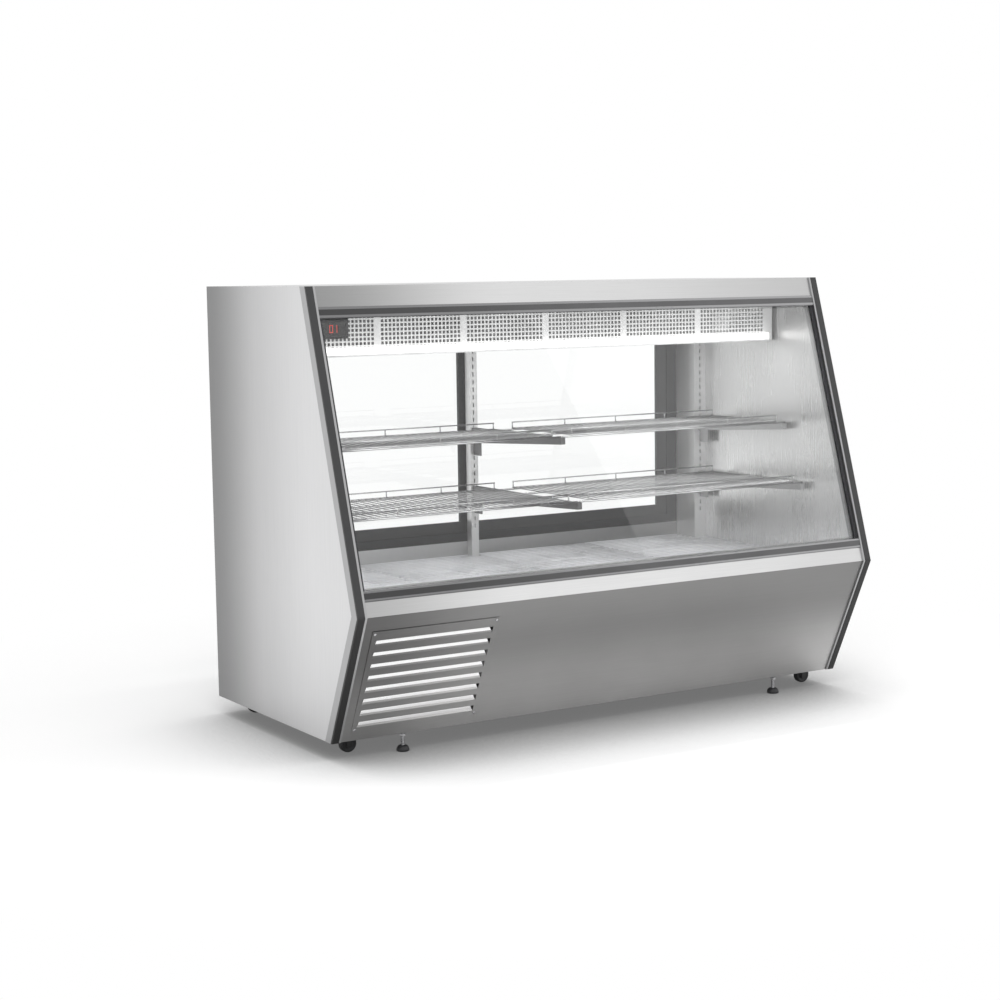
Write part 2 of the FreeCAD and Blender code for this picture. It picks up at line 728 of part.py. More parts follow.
# ---------------------------------------------------------------------------------------------
# Evaporator with its perforated cover, fans and the light bar
# ---------------------------------------------------------------------------------------------

cover_y = size("cover_face_y", -32)
cover_low = size("cover_low_edge", 1120)
cover_half = size("cover_half_length", 876)
cover_back = size("cover_back_y", 200)
cover_lip = size("cover_back_lip", 26)
cover_t = size("cover_thick", 1.5)
hole_w = size("perforation_width", 8.5)
hole_step = size("perforation_pitch", 13)
hole_rows = 13
hole_columns = 21
bay_pitch = size("perforation_bay_pitch", 292.5)
bay_shift = size("perforation_bay_shift", -16)
hole_z = size("perforation_low_row", 1126)
hole_end = size("perforation_end", 842)
bay_count = 6


def ring(corners, y):
    """Closed loop of straight edges in the upright plane at one Y."""
    return Part.makePolygon([FreeCAD.Vector(u, y, v) for u, v in corners + corners[:1]])


def perforated(bay, x, z, y, thick):
    """One bay of the upright sheet, with its block of square holes."""
    wires = [ring([(x[0], z[0]), (x[1], z[0]), (x[1], z[1]), (x[0], z[1])], y)]
    wide = hole_w.value
    step = hole_step.value
    middle = bay_shift.value + (bay - (bay_count - 1) / 2) * bay_pitch.value
    for column in range(hole_columns):
        u = middle + (column - (hole_columns - 1) / 2) * step - wide / 2
        if u < x[0] + wide or u + wide > min(x[1] - wide, hole_end.value):
            continue
        for row in range(hole_rows):
            v = hole_z.value + row * step
            wires.append(ring([(u, v), (u, v + wide), (u + wide, v + wide), (u + wide, v)], y))
    return Part.Face(wires).extrude(FreeCAD.Vector(0, thick, 0))


def cover_shape():
    """Perforated sheet in bays, folded back along its low edge and closed at both ends."""
    end = cover_half.value
    low = cover_low.value
    high = under_top.value
    face = cover_y.value
    rear = cover_back.value
    thick = cover_t.value
    lip = cover_lip.value
    edges = [bay_shift.value + (bay - bay_count / 2) * bay_pitch.value for bay in range(bay_count + 1)]
    edges[0] = -end
    edges[-1] = end
    bays = [perforated(bay, (edges[bay], edges[bay + 1]), (low, high), face, thick)
            for bay in range(bay_count)]
    folds = [
        wire((-end, end), (face + thick, rear), (low, low + thick)),
        wire((-end, end), (rear - thick, rear), (low, low + lip)),
        wire((-end, -end + thick), (face + thick, rear), (low, high)),
        wire((end - thick, end), (face + thick, rear), (low, high)),
    ]
    return bays[0].fuse(bays[1:] + folds).Solids[0]


cover = doc.addObject("Part::Feature", "cover_body")
cover.Shape = cover_shape()
node(cover, "evaporator_cover")

coil_half = size("coil_half_length", 700)
coil_y = (size("coil_front_y", 70), size("coil_back_y", 180))
coil_z = (size("coil_low", 1140), size("coil_high", 1285))
coil_plate = size("coil_plate", 3)
coil = box("coil_block", (-coil_half, coil_half), coil_y, coil_z)
coil_ends = []
for label, x in (("left", -coil_half - coil_plate), ("right", coil_half)):
    coil_ends.append(box("coil_plate_" + label, (x, x + coil_plate), coil_y, (coil_z[0], under_top)))
node(fuse("coil_body", [coil] + coil_ends), "evaporator_coil")

fan_x = size("evaporator_fan_x", 350)
fan_z = size("evaporator_fan_z", 1212)
motor_r = size("evaporator_motor_radius", 28)
motor_len = size("evaporator_motor_length", 46)
shaft_r = size("fan_shaft_radius", 3)
shaft_len = size("evaporator_shaft_length", 30)
fan_y = size("evaporator_fan_y", 0)
hub_len = size("fan_hub_length", 18)
hub_r = size("fan_hub_radius", 16)
fan_r = size("evaporator_fan_radius", 68)
fan_blade = size("evaporator_blade_depth", 20)
fan_blades = 5
blade_angle = 28


def fan(label, x, y, z, tip, blade_deep):
    """Bladed fan on a hub bored for its shaft, turning about Y."""
    pieces = [rod(label + "_hub", "y", (x, y, z), hub_r, hub_len)]
    lean_turn = FreeCAD.Rotation(FreeCAD.Vector(1, 0, 0), blade_angle)
    middle = lean_turn.multVec(FreeCAD.Vector(0, blade_deep.value / 2, blade_t.value / 2))
    for number in range(fan_blades):
        blade = doc.addObject("Part::Box", label + "_blade_%d" % number)
        bind(blade, "Length", tip - hub_r + over)
        bind(blade, "Width", blade_deep)
        bind(blade, "Height", blade_t)
        turn = FreeCAD.Rotation(FreeCAD.Vector(0, 1, 0), 360 / fan_blades * number)
        hub_middle = FreeCAD.Vector(x.value, y.value + hub_len.value / 2, z.value)
        root_point = FreeCAD.Vector(hub_r.value - over.value, 0, 0) - middle
        blade.Placement = FreeCAD.Placement(hub_middle, turn).multiply(
            FreeCAD.Placement(root_point, lean_turn))
        pieces.append(blade)
    bore = rod(label + "_bore", "y", (x, y - over, z), shaft_r + seat, hub_len + over * 2)
    return cut(label + "_cut", fuse(label + "_solid", pieces), [bore])


motors = []
for side, x in (("left", -fan_x), ("right", fan_x)):
    motor = rod("motor_" + side, "y", (x, coil_y[0] - motor_len, fan_z), motor_r, motor_len)
    shaft = rod("motor_shaft_" + side, "y", (x, fan_y - over, fan_z), shaft_r,
                coil_y[0] - motor_len - fan_y + over * 2)
    motors.append(fuse("motor_set_" + side, [motor, shaft]))
    node(fan("evaporator_fan_" + side + "_body", x, fan_y, fan_z, fan_r, fan_blade),
         "evaporator_fan_" + side)
node(group("motor_pair", motors), "evaporator_motors")

light_half = size("light_half_length", 852)
light_low = size("light_low", 1120)
light_base = size("light_channel_height", 5)
light_high = size("light_high", 1146)
light_out = size("light_depth", 14)
light_y = (cover_y - light_out, cover_y)
node(box("light_channel", (-light_half, light_half), light_y, (light_low, light_low + light_base)),
     "light_housing")
node(box("light_cover", (-light_half, light_half), light_y, (light_low + light_base, light_high)),
     "light_diffuser")

control_x = (size("controller_left", -824), size("controller_right", -703))
control_z = (size("controller_low", 1173), size("controller_high", 1232))
control_out = size("controller_depth", 12)
node(box("controller_block", control_x, (cover_y - control_out, cover_y), control_z), "controller")

# ---------------------------------------------------------------------------------------------
# Base frame and the refrigeration machinery that stands on it
# ---------------------------------------------------------------------------------------------

frame_low = size("base_low", 72)
frame_high = size("base_high", 102)
frame_w = size("base_rail_width", 40)
base_back = size("base_back_y", 470)
cross_x = size("base_cross_x", 300)
floor_t = size("base_floor_thick", 1.5)
base_front = lower_y(frame_low, skin_in)
plate_t = size("castor_plate_thick", 3)
plate_half = size("castor_plate_half", 38)
castor_x = size("castor_x", 840)
castor_y = {"front": size("front_castor_y", -203), "rear": size("rear_castor_y", 425)}
stem_r = size("castor_stem_radius", 5)
stem_high = size("castor_stem_top", 78)
foot_x = size("foot_x", 679)
foot_y = size("foot_y", -283)
stud_r = size("foot_stud_radius", 6)

bay_low = frame_low - over
rim_block = box("base_block", (-inner_x, inner_x), (base_front, base_back), (frame_low, frame_high))
bays = []
bay_edges = [-inner_x + frame_w, -cross_x - frame_w / 2, -cross_x + frame_w / 2,
             cross_x - frame_w / 2, cross_x + frame_w / 2, inner_x - frame_w]
for number in range(len(bay_edges) // 2):
    bays.append(box("base_bay_%d" % number, (bay_edges[number * 2], bay_edges[number * 2 + 1]),
                    (base_front + frame_w, base_back - frame_w), (bay_low, frame_high - floor_t)))
framework = cut("base_bays", rim_block, bays)
plates = []
stems = []
for row in ("front", "rear"):
    for side, x in (("left", -castor_x), ("right", castor_x)):
        y = castor_y[row]
        plates.append(box("plate_" + row + "_" + side, (x - plate_half, x + plate_half),
                          (y - plate_half, y + plate_half), (frame_low - plate_t, frame_low)))
        stems.append(rod("stem_hole_" + row + "_" + side, "z", (x, y, bay_low - plate_t),
                         stem_r + seat, stem_high - bay_low + plate_t + over))
for side, x in (("left", -foot_x), ("right", foot_x)):
    stems.append(rod("stud_hole_" + side, "z", (x, foot_y, bay_low), stud_r + seat,
                     frame_high - frame_low - floor_t + over))
node(cut("base_cut", fuse("base_body", [framework] + plates), stems), "base_frame")

coil2_x = (size("condenser_left", -832), size("condenser_right", -480))
coil2_y = (size("condenser_front_y", -290), size("condenser_back_y", -235))
coil2_z = size("condenser_top", 335)
node(box("condenser_block", coil2_x, coil2_y, (frame_high, coil2_z)), "condenser_coil")

shroud_t = size("shroud_thick", 2)
shroud_deep = size("shroud_depth", 45)
ring_r = size("shroud_ring_radius", 104)
cfan_r = size("condenser_fan_radius", 98)
cfan_blade = size("condenser_blade_depth", 24)
cfan_x = (coil2_x[0] + coil2_x[1]) / 2
cfan_z = (frame_high + coil2_z) / 2
cfan_y = coil2_y[1] + size("condenser_fan_gap", 14)
cmotor_y = size("condenser_motor_y", -170)
cmotor_len = size("condenser_motor_length", 60)
cmotor_r = size("condenser_motor_radius", 36)
strut = size("shroud_strut", 12)
shroud_back = coil2_y[1] + shroud_deep
shroud_block = box("shroud_block", coil2_x, (coil2_y[1], shroud_back), (frame_high, coil2_z))
shroud_core = box("shroud_core", (coil2_x[0] + shroud_t, coil2_x[1] - shroud_t),
                  (coil2_y[1] - over, shroud_back - shroud_t),
                  (frame_high + shroud_t, coil2_z - shroud_t))
shroud_ring = rod("shroud_ring", "y", (cfan_x, coil2_y[1], cfan_z), ring_r, shroud_deep + over)
shroud_cut = cut("shroud_cut", shroud_block, [fuse("shroud_space", [shroud_core, shroud_ring])])
shroud_strut = box("shroud_strut_bar", (cfan_x - strut / 2, cfan_x + strut / 2),
                   (shroud_back - shroud_t, shroud_back + shroud_t), (frame_high, coil2_z))
motor = rod("condenser_motor", "y", (cfan_x, shroud_back, cfan_z), cmotor_r, cmotor_len)
motor_shaft = rod("condenser_motor_shaft", "y", (cfan_x, cfan_y - over, cfan_z), shaft_r,
                  shroud_back - cfan_y + over * 2)
node(fuse("shroud_body", [shroud_cut, shroud_strut, motor, motor_shaft]), "condenser_shroud")
node(fan("condenser_fan_body", cfan_x, cfan_y, cfan_z, cfan_r, cfan_blade), "condenser_fan")

comp_x = size("compressor_x", -300)
comp_y = size("compressor_y", 90)
comp_r = size("compressor_radius", 78)
comp_foot = size("compressor_foot_height", 16)
comp_h = size("compressor_body_height", 130)
dome_h = size("compressor_dome_height", 34)
dome_r = size("compressor_dome_radius", 46)
comp_base = size("compressor_base_half", 88)
body_z = frame_high + comp_foot
comp_parts = [
    rod("compressor_shell", "z", (comp_x, comp_y, body_z), comp_r, comp_h),
    taper("compressor_dome", (comp_x, comp_y, body_z + comp_h), comp_r, dome_r, dome_h),
    box("compressor_plate", (comp_x - comp_base, comp_x + comp_base),
        (comp_y - comp_base, comp_y + comp_base), (body_z - sheet_t, body_z + sheet_t)),
]
for index, (dx, dy) in enumerate(((-1, -1), (-1, 1), (1, -1), (1, 1))):
    inset = comp_base - comp_foot
    comp_parts.append(rod("compressor_foot_%d" % index, "z",
                          (comp_x + inset * dx, comp_y + inset * dy, frame_high), comp_foot - over,
                          comp_foot))

port_len = size("compressor_port_length", 16)
pipe_start = comp_x - comp_r - port_len
pipe_turn_x = size("pipe_turn_x", -760)
pipe_coil_y = size("pipe_coil_y", 130)
bend_r = size("pipe_bend_radius", 16)


def bent_pipe(points, radius, bend):
    """Round tube swept along straight runs joined by quarter bends."""
    edges = []
    begin = points[0]
    for index in range(1, len(points) - 1):
        corner = points[index]
        come = (corner - points[index - 1]).normalize()
        leave = (points[index + 1] - corner).normalize()
        first = corner - come * bend
        last = corner + leave * bend
        middle = corner + (leave - come) * bend * (1 - math.sqrt(0.5))
        edges.append(Part.makeLine(begin, first))
        edges.append(Part.Arc(first, middle, last).toShape())
        begin = last
    edges.append(Part.makeLine(begin, points[-1]))
    circle = Part.makeCircle(radius, points[0], points[1] - points[0])
    return Part.Wire(edges).makePipeShell([Part.Wire(circle)], True, True)


pipes = []
for number, lane in enumerate(lanes):
    px, py, low, high = [value.value for value in lane]
    turn_x = pipe_turn_x.value - number * pipe_step.value
    coil_near_y = pipe_coil_y.value
    coil_near_x = -coil_half.value - coil_plate.value
    path = [
        (pipe_start.value, comp_y.value, low), (px, comp_y.value, low), (px, py, low),
        (px, py, high), (turn_x, py, high), (turn_x, coil_near_y, high),
        (coil_near_x, coil_near_y, high),
    ]
    tube = doc.addObject("Part::Feature", "pipe_%d" % number)
    tube.Shape = bent_pipe([FreeCAD.Vector(*point) for point in path], pipe_r.value, bend_r.value)
    pipes.append(tube)
    comp_parts.append(rod("compressor_port_%d" % number, "x", (pipe_start, comp_y, lane[2]),
                          pipe_r + sheet_t, comp_r))
node(group("pipe_pair", pipes), "refrigerant_lines")
node(fuse("compressor_body", comp_parts), "compressor")

control_box = (size("control_box_left", 380), size("control_box_right", 600))
control_box_y = size("control_box_front_y", 330)
control_box_top = size("control_box_top", 300)
gland_r = size("inlet_gland_radius", 11)
gland_out = size("inlet_gland_reach", 2)
gland_z = size("inlet_gland_z", 220)
gland_x = (control_box[0] + control_box[1]) / 2
gland = rod("inlet_gland", "y", (gland_x, back - sheet_t - over, gland_z), gland_r, sheet_t + over)
case_block = box("control_case", control_box, (control_box_y, back - sheet_t),
                 (frame_high, control_box_top))
node(fuse("control_body", [case_block, gland]), "electrical_box")

vent_plate = box("vent_plate", (-inner_x, inner_x), (back - sheet_t, back), (skirt_z, rear_sill_z))
vent_slots = []
vent_w = size("vent_slot_length", 240)
vent_h = size("vent_slot_height", 8)
vent_first = size("vent_first_slot", 130)
vent_pitch = size("vent_slot_pitch", 24)
vent_rows = 8
vent_banks = [size("vent_left_bank", -660), size("vent_middle_bank", -340),
              size("vent_right_bank", 20)]
for number in range(vent_rows):
    for bank, x in enumerate(vent_banks):
        z = vent_first + vent_pitch * number
        vent_slots.append(box("vent_slot_%d_%d" % (number, bank), (x, x + vent_w),
                              (back - sheet_t - over, back + over), (z, z + vent_h)))
gland_hole = rod("gland_hole", "y", (gland_x, back - sheet_t - over, gland_z), gland_r,
                 sheet_t + over * 2)
node(cut("vent_cut", vent_plate, vent_slots + [gland_hole]), "rear_vent_panel")

# ---------------------------------------------------------------------------------------------
# Castors and levelling feet
# ---------------------------------------------------------------------------------------------

wheel_r = size("castor_wheel_radius", 25)
wheel_w = size("castor_wheel_width", 20)
axle_r = size("castor_axle_radius", 4)
trail = size("castor_trail", 24)
fork_gap = size("castor_fork_gap", 2)
fork_t = size("castor_fork_thick", 3)
fork_top = frame_low - plate_t - size("castor_bearing_gap", 0.2)
crown_t = size("castor_crown_thick", 7)
crown_r = size("castor_crown_radius", 25)
cheek = size("castor_cheek", 9)
cheek_front = size("castor_cheek_front", 17.5)
cheek_rear = size("castor_cheek_rear", 22.5)

for row in ("front", "rear"):
    for side, x in (("left", -castor_x), ("right", castor_x)):
        tag = row + "_" + side
        y = castor_y[row]
        crown = rod("crown_" + tag, "z", (x, y, fork_top - crown_t), crown_r, crown_t)
        stem = rod("stem_" + tag, "z", (x, y, fork_top - over), stem_r, stem_high - fork_top + over)
        axle = rod("axle_" + tag, "y", (x + trail, y - wheel_w / 2 - fork_gap - fork_t, wheel_r),
                   axle_r, wheel_w + fork_gap * 2 + fork_t * 2)
        cheeks = []
        for face, y_end in (("rear", y + wheel_w / 2 + fork_gap + fork_t),
                            ("front", y - wheel_w / 2 - fork_gap)):
            cheeks.append(prism("cheek_" + tag + "_" + face, "XZ_Plane", [
                (x - cheek_front, fork_top - crown_t), (x + cheek_rear, fork_top - crown_t),
                (x + trail + cheek, wheel_r + cheek), (x + trail + cheek, wheel_r - cheek),
                (x + trail - cheek, wheel_r - cheek), (x + trail - cheek, wheel_r + cheek / 2),
            ], y_end, fork_t))
        node(fuse("fork_" + tag, [crown, stem, axle] + cheeks), "castor_fork_" + tag)
        wheel = rod("wheel_" + tag, "y", (x + trail, y - wheel_w / 2, wheel_r), wheel_r, wheel_w)
        bore = rod("wheel_bore_" + tag, "y", (x + trail, y - wheel_w / 2 - over, wheel_r),
                   axle_r + seat, wheel_w + over * 2)
        node(cut("wheel_cut_" + tag, wheel, [bore]), "castor_wheel_" + tag)

pad_r = size("foot_pad_radius", 19)
pad_h = size("foot_pad_height", 9)
neck_r = size("foot_neck_radius", 14)
neck_h = size("foot_neck_height", 9)
nut_low = size("foot_nut_low", 44)
nut_h = size("foot_nut_height", 7)
nut_r = size("foot_nut_radius", 9.5)
stud_top = size("foot_stud_top", 84)
for side, x in (("left", -foot_x), ("right", foot_x)):
    node(fuse("foot_" + side, [
        rod("pad_" + side, "z", (x, foot_y, as_size(0)), pad_r, pad_h),
        taper("neck_" + side, (x, foot_y, pad_h), pad_r - over, neck_r, neck_h),
        rod("stud_" + side, "z", (x, foot_y, pad_h), stud_r, stud_top - pad_h),
        rod("nut_" + side, "z", (x, foot_y, nut_low), nut_r, nut_h),
    ]), "levelling_foot_" + side)

# ---------------------------------------------------------------------------------------------
# Check and write every piece
# ---------------------------------------------------------------------------------------------

doc.recompute()
for item in doc.Objects:
    if "Invalid" in item.State or "Error" in item.State:
        raise RuntimeError(item.Label + " did not build: " + str(item.State))
for item in nodes:
    if item.Shape.isNull() or not item.Shape.isValid():
        raise RuntimeError(item.Label + " has no valid shape")
    item.Shape.exportStep("parts/" + item.Label + ".step")
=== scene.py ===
import math

import bpy
import numpy as np
from mathutils import Matrix, Vector


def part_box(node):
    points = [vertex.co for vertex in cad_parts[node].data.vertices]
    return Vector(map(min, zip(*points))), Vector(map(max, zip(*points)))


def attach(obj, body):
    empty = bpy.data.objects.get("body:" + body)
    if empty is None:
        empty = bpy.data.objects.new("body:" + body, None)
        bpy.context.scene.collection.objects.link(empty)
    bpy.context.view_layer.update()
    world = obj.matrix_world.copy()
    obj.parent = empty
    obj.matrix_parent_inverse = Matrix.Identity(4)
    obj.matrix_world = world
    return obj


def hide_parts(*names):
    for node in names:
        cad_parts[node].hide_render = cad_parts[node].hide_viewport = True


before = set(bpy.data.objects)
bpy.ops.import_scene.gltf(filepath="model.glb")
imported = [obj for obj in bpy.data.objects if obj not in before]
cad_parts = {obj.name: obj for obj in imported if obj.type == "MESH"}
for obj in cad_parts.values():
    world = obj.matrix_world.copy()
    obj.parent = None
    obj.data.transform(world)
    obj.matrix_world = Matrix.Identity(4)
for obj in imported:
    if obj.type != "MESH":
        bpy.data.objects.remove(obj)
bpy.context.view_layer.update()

# ---- End panels -------------------------------------------------------------------------------
# Two tall cheeks of satin stainless sheet over foam, with the grain of the sheet running upright.
# They carry everything else and close both ends of the case.

def finish_of(name, colour, rough, metal=0.0, **sockets):
    """A Principled finish whose plain numbers are set straight on its sockets."""
    finish = bpy.data.materials.new(name)
    finish.use_nodes = True
    shader = finish.node_tree.nodes["Principled BSDF"]
    shader.inputs["Base Color"].default_value = (*colour, 1)
    shader.inputs["Roughness"].default_value = rough
    shader.inputs["Metallic"].default_value = metal
    for socket, value in sockets.items():
        shader.inputs[socket.replace("_", " ")].default_value = value
    return finish, finish.node_tree, shader


def dress(finish, *names):
    """One finish for the nodes of these names."""
    for name in names:
        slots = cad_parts[name].data.materials
        slots.clear()
        slots.append(finish)


def effect(name, numbers, outputs):
    """An empty shader group with named inputs and outputs, ready for its nodes."""
    group = bpy.data.node_groups.new(name, "ShaderNodeTree")
    for label, value in numbers.items():
        kind = "NodeSocketVector" if isinstance(value, tuple) else "NodeSocketFloat"
        socket = group.interface.new_socket(label, in_out="INPUT", socket_type=kind)
        socket.default_value = value
    for label in outputs:
        group.interface.new_socket(label, in_out="OUTPUT", socket_type="NodeSocketFloat")
    return group, group.nodes.new("NodeGroupInput"), group.nodes.new("NodeGroupOutput")


def noise(tree, vector, scale, detail=3.0, rough=0.5):
    """Soft unevenness, from nought to one, at a place."""
    node = tree.nodes.new("ShaderNodeTexNoise")
    node.inputs["Scale"].default_value = scale
    node.inputs["Detail"].default_value = detail
    node.inputs["Roughness"].default_value = rough
    tree.links.new(vector, node.inputs["Vector"])
    return node.outputs["Fac"]


def ranged(tree, value, low, high, from_low=0.3, from_high=0.7):
    """Straight-line change of a value from one range to another."""
    node = tree.nodes.new("ShaderNodeMapRange")
    numbers = {"From Min": from_low, "From Max": from_high, "To Min": low, "To Max": high}
    for label, number in numbers.items():
        if isinstance(number, (int, float)):
            node.inputs[label].default_value = number
        else:
            tree.links.new(number, node.inputs[label])
    tree.links.new(value, node.inputs["Value"])
    return node.outputs["Result"]


def maths(tree, operation, *values):
    """One sum in a shader, of plain numbers and outputs of other nodes."""
    node = tree.nodes.new("ShaderNodeMath")
    node.operation = operation
    for index, value in enumerate(values):
        if isinstance(value, (int, float)):
            node.inputs[index].default_value = value
        else:
            tree.links.new(value, node.inputs[index])
    return node.outputs[0]


# Fine parallel scratches, drawn out along the grain, with faint cloudy handling marks over them
grain, grain_in, grain_out = effect("brushed_grain", {"Stretch": (1.0, 1.0, 1.0), "Marks": 1.0},
                                    ("Tone", "Polish", "Height"))
place = grain.nodes.new("ShaderNodeTexCoord")
drawn = grain.nodes.new("ShaderNodeVectorMath")
drawn.operation = "MULTIPLY"
grain.links.new(place.outputs["Object"], drawn.inputs[0])
grain.links.new(grain_in.outputs["Stretch"], drawn.inputs[1])
scratch = noise(grain, drawn.outputs[0], 1.0, 4.0, 0.65)
cloud = noise(grain, place.outputs["Object"], 3.2, 4.0, 0.6)
smear = noise(grain, place.outputs["Object"], 11.0, 5.0, 0.7)
marks = maths(grain, "MULTIPLY", maths(grain, "SUBTRACT", cloud, 0.5), grain_in.outputs["Marks"])
tone_marks = maths(grain, "MULTIPLY", marks, 0.08)
grain.links.new(maths(grain, "ADD", ranged(grain, scratch, -0.035, 0.035), tone_marks),
                grain_out.inputs["Tone"])
smeared = maths(grain, "ADD", marks, ranged(grain, smear, -0.1, 0.1))
polish_marks = maths(grain, "MULTIPLY", smeared, 0.15)
grain.links.new(maths(grain, "ADD", ranged(grain, scratch, -0.03, 0.03), polish_marks),
                grain_out.inputs["Polish"])
grain.links.new(scratch, grain_out.inputs["Height"])


def soft_edge(tree, radius):
    """Surface direction with every sharp edge rounded off by a small radius."""
    node = tree.nodes.new("ShaderNodeBevel")
    node.samples = 4
    node.inputs["Radius"].default_value = radius
    return node.outputs["Normal"]


# Painted reflection and shade: a slow straight fade in tone between two places along one axis,
# as a broad sheet shows its room
painted_fade_numbers = {"Axis": (1.0, 0.0, 0.0), "Start": 0.0, "Stop": 1.0, "First": 1.0, "Last": 1.0}
painted_fade, painted_fade_in, painted_fade_out = effect("painted_light_fade", painted_fade_numbers, ("Tone",))
painted_fade_place = painted_fade.nodes.new("ShaderNodeTexCoord")
painted_fade_along = painted_fade.nodes.new("ShaderNodeVectorMath")
painted_fade_along.operation = "DOT_PRODUCT"
painted_fade.links.new(painted_fade_place.outputs["Object"], painted_fade_along.inputs[0])
painted_fade.links.new(painted_fade_in.outputs["Axis"], painted_fade_along.inputs[1])
painted_fade_step = ranged(painted_fade, painted_fade_along.outputs["Value"],
                   *[painted_fade_in.outputs[label] for label in ("First", "Last", "Start", "Stop")])
painted_fade_step.node.interpolation_type = "SMOOTHSTEP"
painted_fade.links.new(painted_fade_step, painted_fade_out.inputs["Tone"])


def tinted(tree, colour, drift, painted_fades=()):
    """The colour made lighter or darker by a drift around nought, and by slow fades of painted
    light and shade given as (axis, start, stop, first tone, last tone)."""
    gain = maths(tree, "ADD", drift, 1.0)
    for values in painted_fades:
        step = tree.nodes.new("ShaderNodeGroup")
        step.node_tree = painted_fade
        for label, value in zip(painted_fade_numbers, values):
            step.inputs[label].default_value = value
        gain = maths(tree, "MULTIPLY", gain, step.outputs["Tone"])
    node = tree.nodes.new("ShaderNodeHueSaturation")
    node.inputs["Color"].default_value = (*colour, 1)
    tree.links.new(gain, node.inputs["Value"])
    return node.outputs["Color"]


def bumped(tree, height, distance, strength, normal=None):
    """Surface direction with a relief as deep as the distance."""
    node = tree.nodes.new("ShaderNodeBump")
    node.inputs["Distance"].default_value = distance
    node.inputs["Strength"].default_value = strength
    tree.links.new(height, node.inputs["Height"])
    if normal is not None:
        tree.links.new(normal, node.inputs["Normal"])
    return node.outputs["Normal"]


def brushed_steel(name, colour, rough, stretch, marks=1.0, metal=1.0, edge=0.0012,
                  strength=0.05, painted_fades=()):
    """Satin metal: tone, polish and relief all follow one drawn-out grain."""
    finish, tree, shader = finish_of(name, colour, rough, metal)
    group = tree.nodes.new("ShaderNodeGroup")
    group.node_tree = grain
    group.inputs["Stretch"].default_value = stretch
    group.inputs["Marks"].default_value = marks
    tree.links.new(tinted(tree, colour, group.outputs["Tone"], painted_fades), shader.inputs["Base Color"])
    tree.links.new(maths(tree, "ADD", group.outputs["Polish"], rough), shader.inputs["Roughness"])
    tree.links.new(bumped(tree, group.outputs["Height"], 0.0003, strength, soft_edge(tree, edge)),
                   shader.inputs["Normal"])
    return finish


along_x, along_y, upward = (1.0, 0.0, 0.0), (0.0, 1.0, 0.0), (0.0, 0.0, 1.0)
upright_grain = (420.0, 420.0, 5.0)
long_grain = (5.0, 420.0, 420.0)
# Painted reflection and shade on the cheeks: the near one fades darker towards the back and a little
# darker low down; the far one, seen from inside, fades lighter towards the back and darker towards
# the top
end_steel = brushed_steel("end_panel_steel", (0.74, 0.74, 0.745), 0.36, upright_grain,
                          metal=0.85, painted_fades=[(along_y, -0.25, 0.30, 1.0, 0.70),
                                             (along_y, 0.12, 0.48, 1.0, 0.47),
                                             (upward, 0.06, 0.50, 0.92, 1.0)])
far_end_steel = brushed_steel("far_end_steel", (0.68, 0.68, 0.68), 0.29, upright_grain, 0.8,
                              metal=0.85, strength=0.006,
                              painted_fades=[(along_y, -0.05, 0.42, 0.97, 1.12),
                                     (upward, 0.58, 0.88, 1.15, 0.86)])
dress(end_steel, "end_panel_left")
dress(far_end_steel, "end_panel_right")

# ---- Edge trims and bumper strips -------------------------------------------------------------
# A folded satin trim caps the sloping front edge of each cheek, and a black rubber strip is
# pushed into its outer corner to take knocks.

trim_steel = brushed_steel("trim_steel", (0.44, 0.44, 0.445), 0.32, (420.0, 60.0, 12.0), 0.8)
dress(trim_steel, "edge_trim_left", "edge_trim_right")

# Moulded skin: a fine pebble and a slow drift in tone, for rubber and matt plastic
skin, skin_in, skin_out = effect("moulded_skin", {"Pebble": 900.0}, ("Tone", "Polish", "Height"))
skin_place = skin.nodes.new("ShaderNodeTexCoord")
pebble = noise(skin, skin_place.outputs["Object"], 900.0, 2.0)
skin.links.new(skin_in.outputs["Pebble"], pebble.node.inputs["Scale"])
drift = noise(skin, skin_place.outputs["Object"], 6.0, 4.0, 0.6)
skin.links.new(ranged(skin, drift, -0.12, 0.12), skin_out.inputs["Tone"])
skin.links.new(ranged(skin, drift, -0.07, 0.07), skin_out.inputs["Polish"])
skin.links.new(pebble, skin_out.inputs["Height"])


def moulded(name, colour, rough, pebble_scale=900.0, relief=0.25, edge=0.001, painted_fades=(), **sockets):
    """Rubber, plastic or coating with a fine moulded skin."""
    finish, tree, shader = finish_of(name, colour, rough, **sockets)
    group = tree.nodes.new("ShaderNodeGroup")
    group.node_tree = skin
    group.inputs["Pebble"].default_value = pebble_scale
    tree.links.new(tinted(tree, colour, group.outputs["Tone"], painted_fades), shader.inputs["Base Color"])
    tree.links.new(maths(tree, "ADD", group.outputs["Polish"], rough), shader.inputs["Roughness"])
    tree.links.new(bumped(tree, group.outputs["Height"], 0.0002, relief, soft_edge(tree, edge)),
                   shader.inputs["Normal"])
    return finish


# Painted shade: below the nose the strip's tone drops steeply, darkening its lower run
bumper_rubber = moulded("bumper_rubber", (0.030, 0.030, 0.031), 0.42, 1400.0, 0.2, 0.0025,
                        painted_fades=[(upward, 0.425, 0.445, 0.15, 1.0)])
dress(bumper_rubber, "bumper_strip_left", "bumper_strip_right")

# ---- Top, canopy and sill ---------------------------------------------------------------------
# The lid is a flat stainless sheet over foam. The canopy and the sill are folded from the same
# sheet, grain along the case, and clip behind the glass rails.

top_steel = brushed_steel("top_steel", (0.56, 0.56, 0.56), 0.33, long_grain)
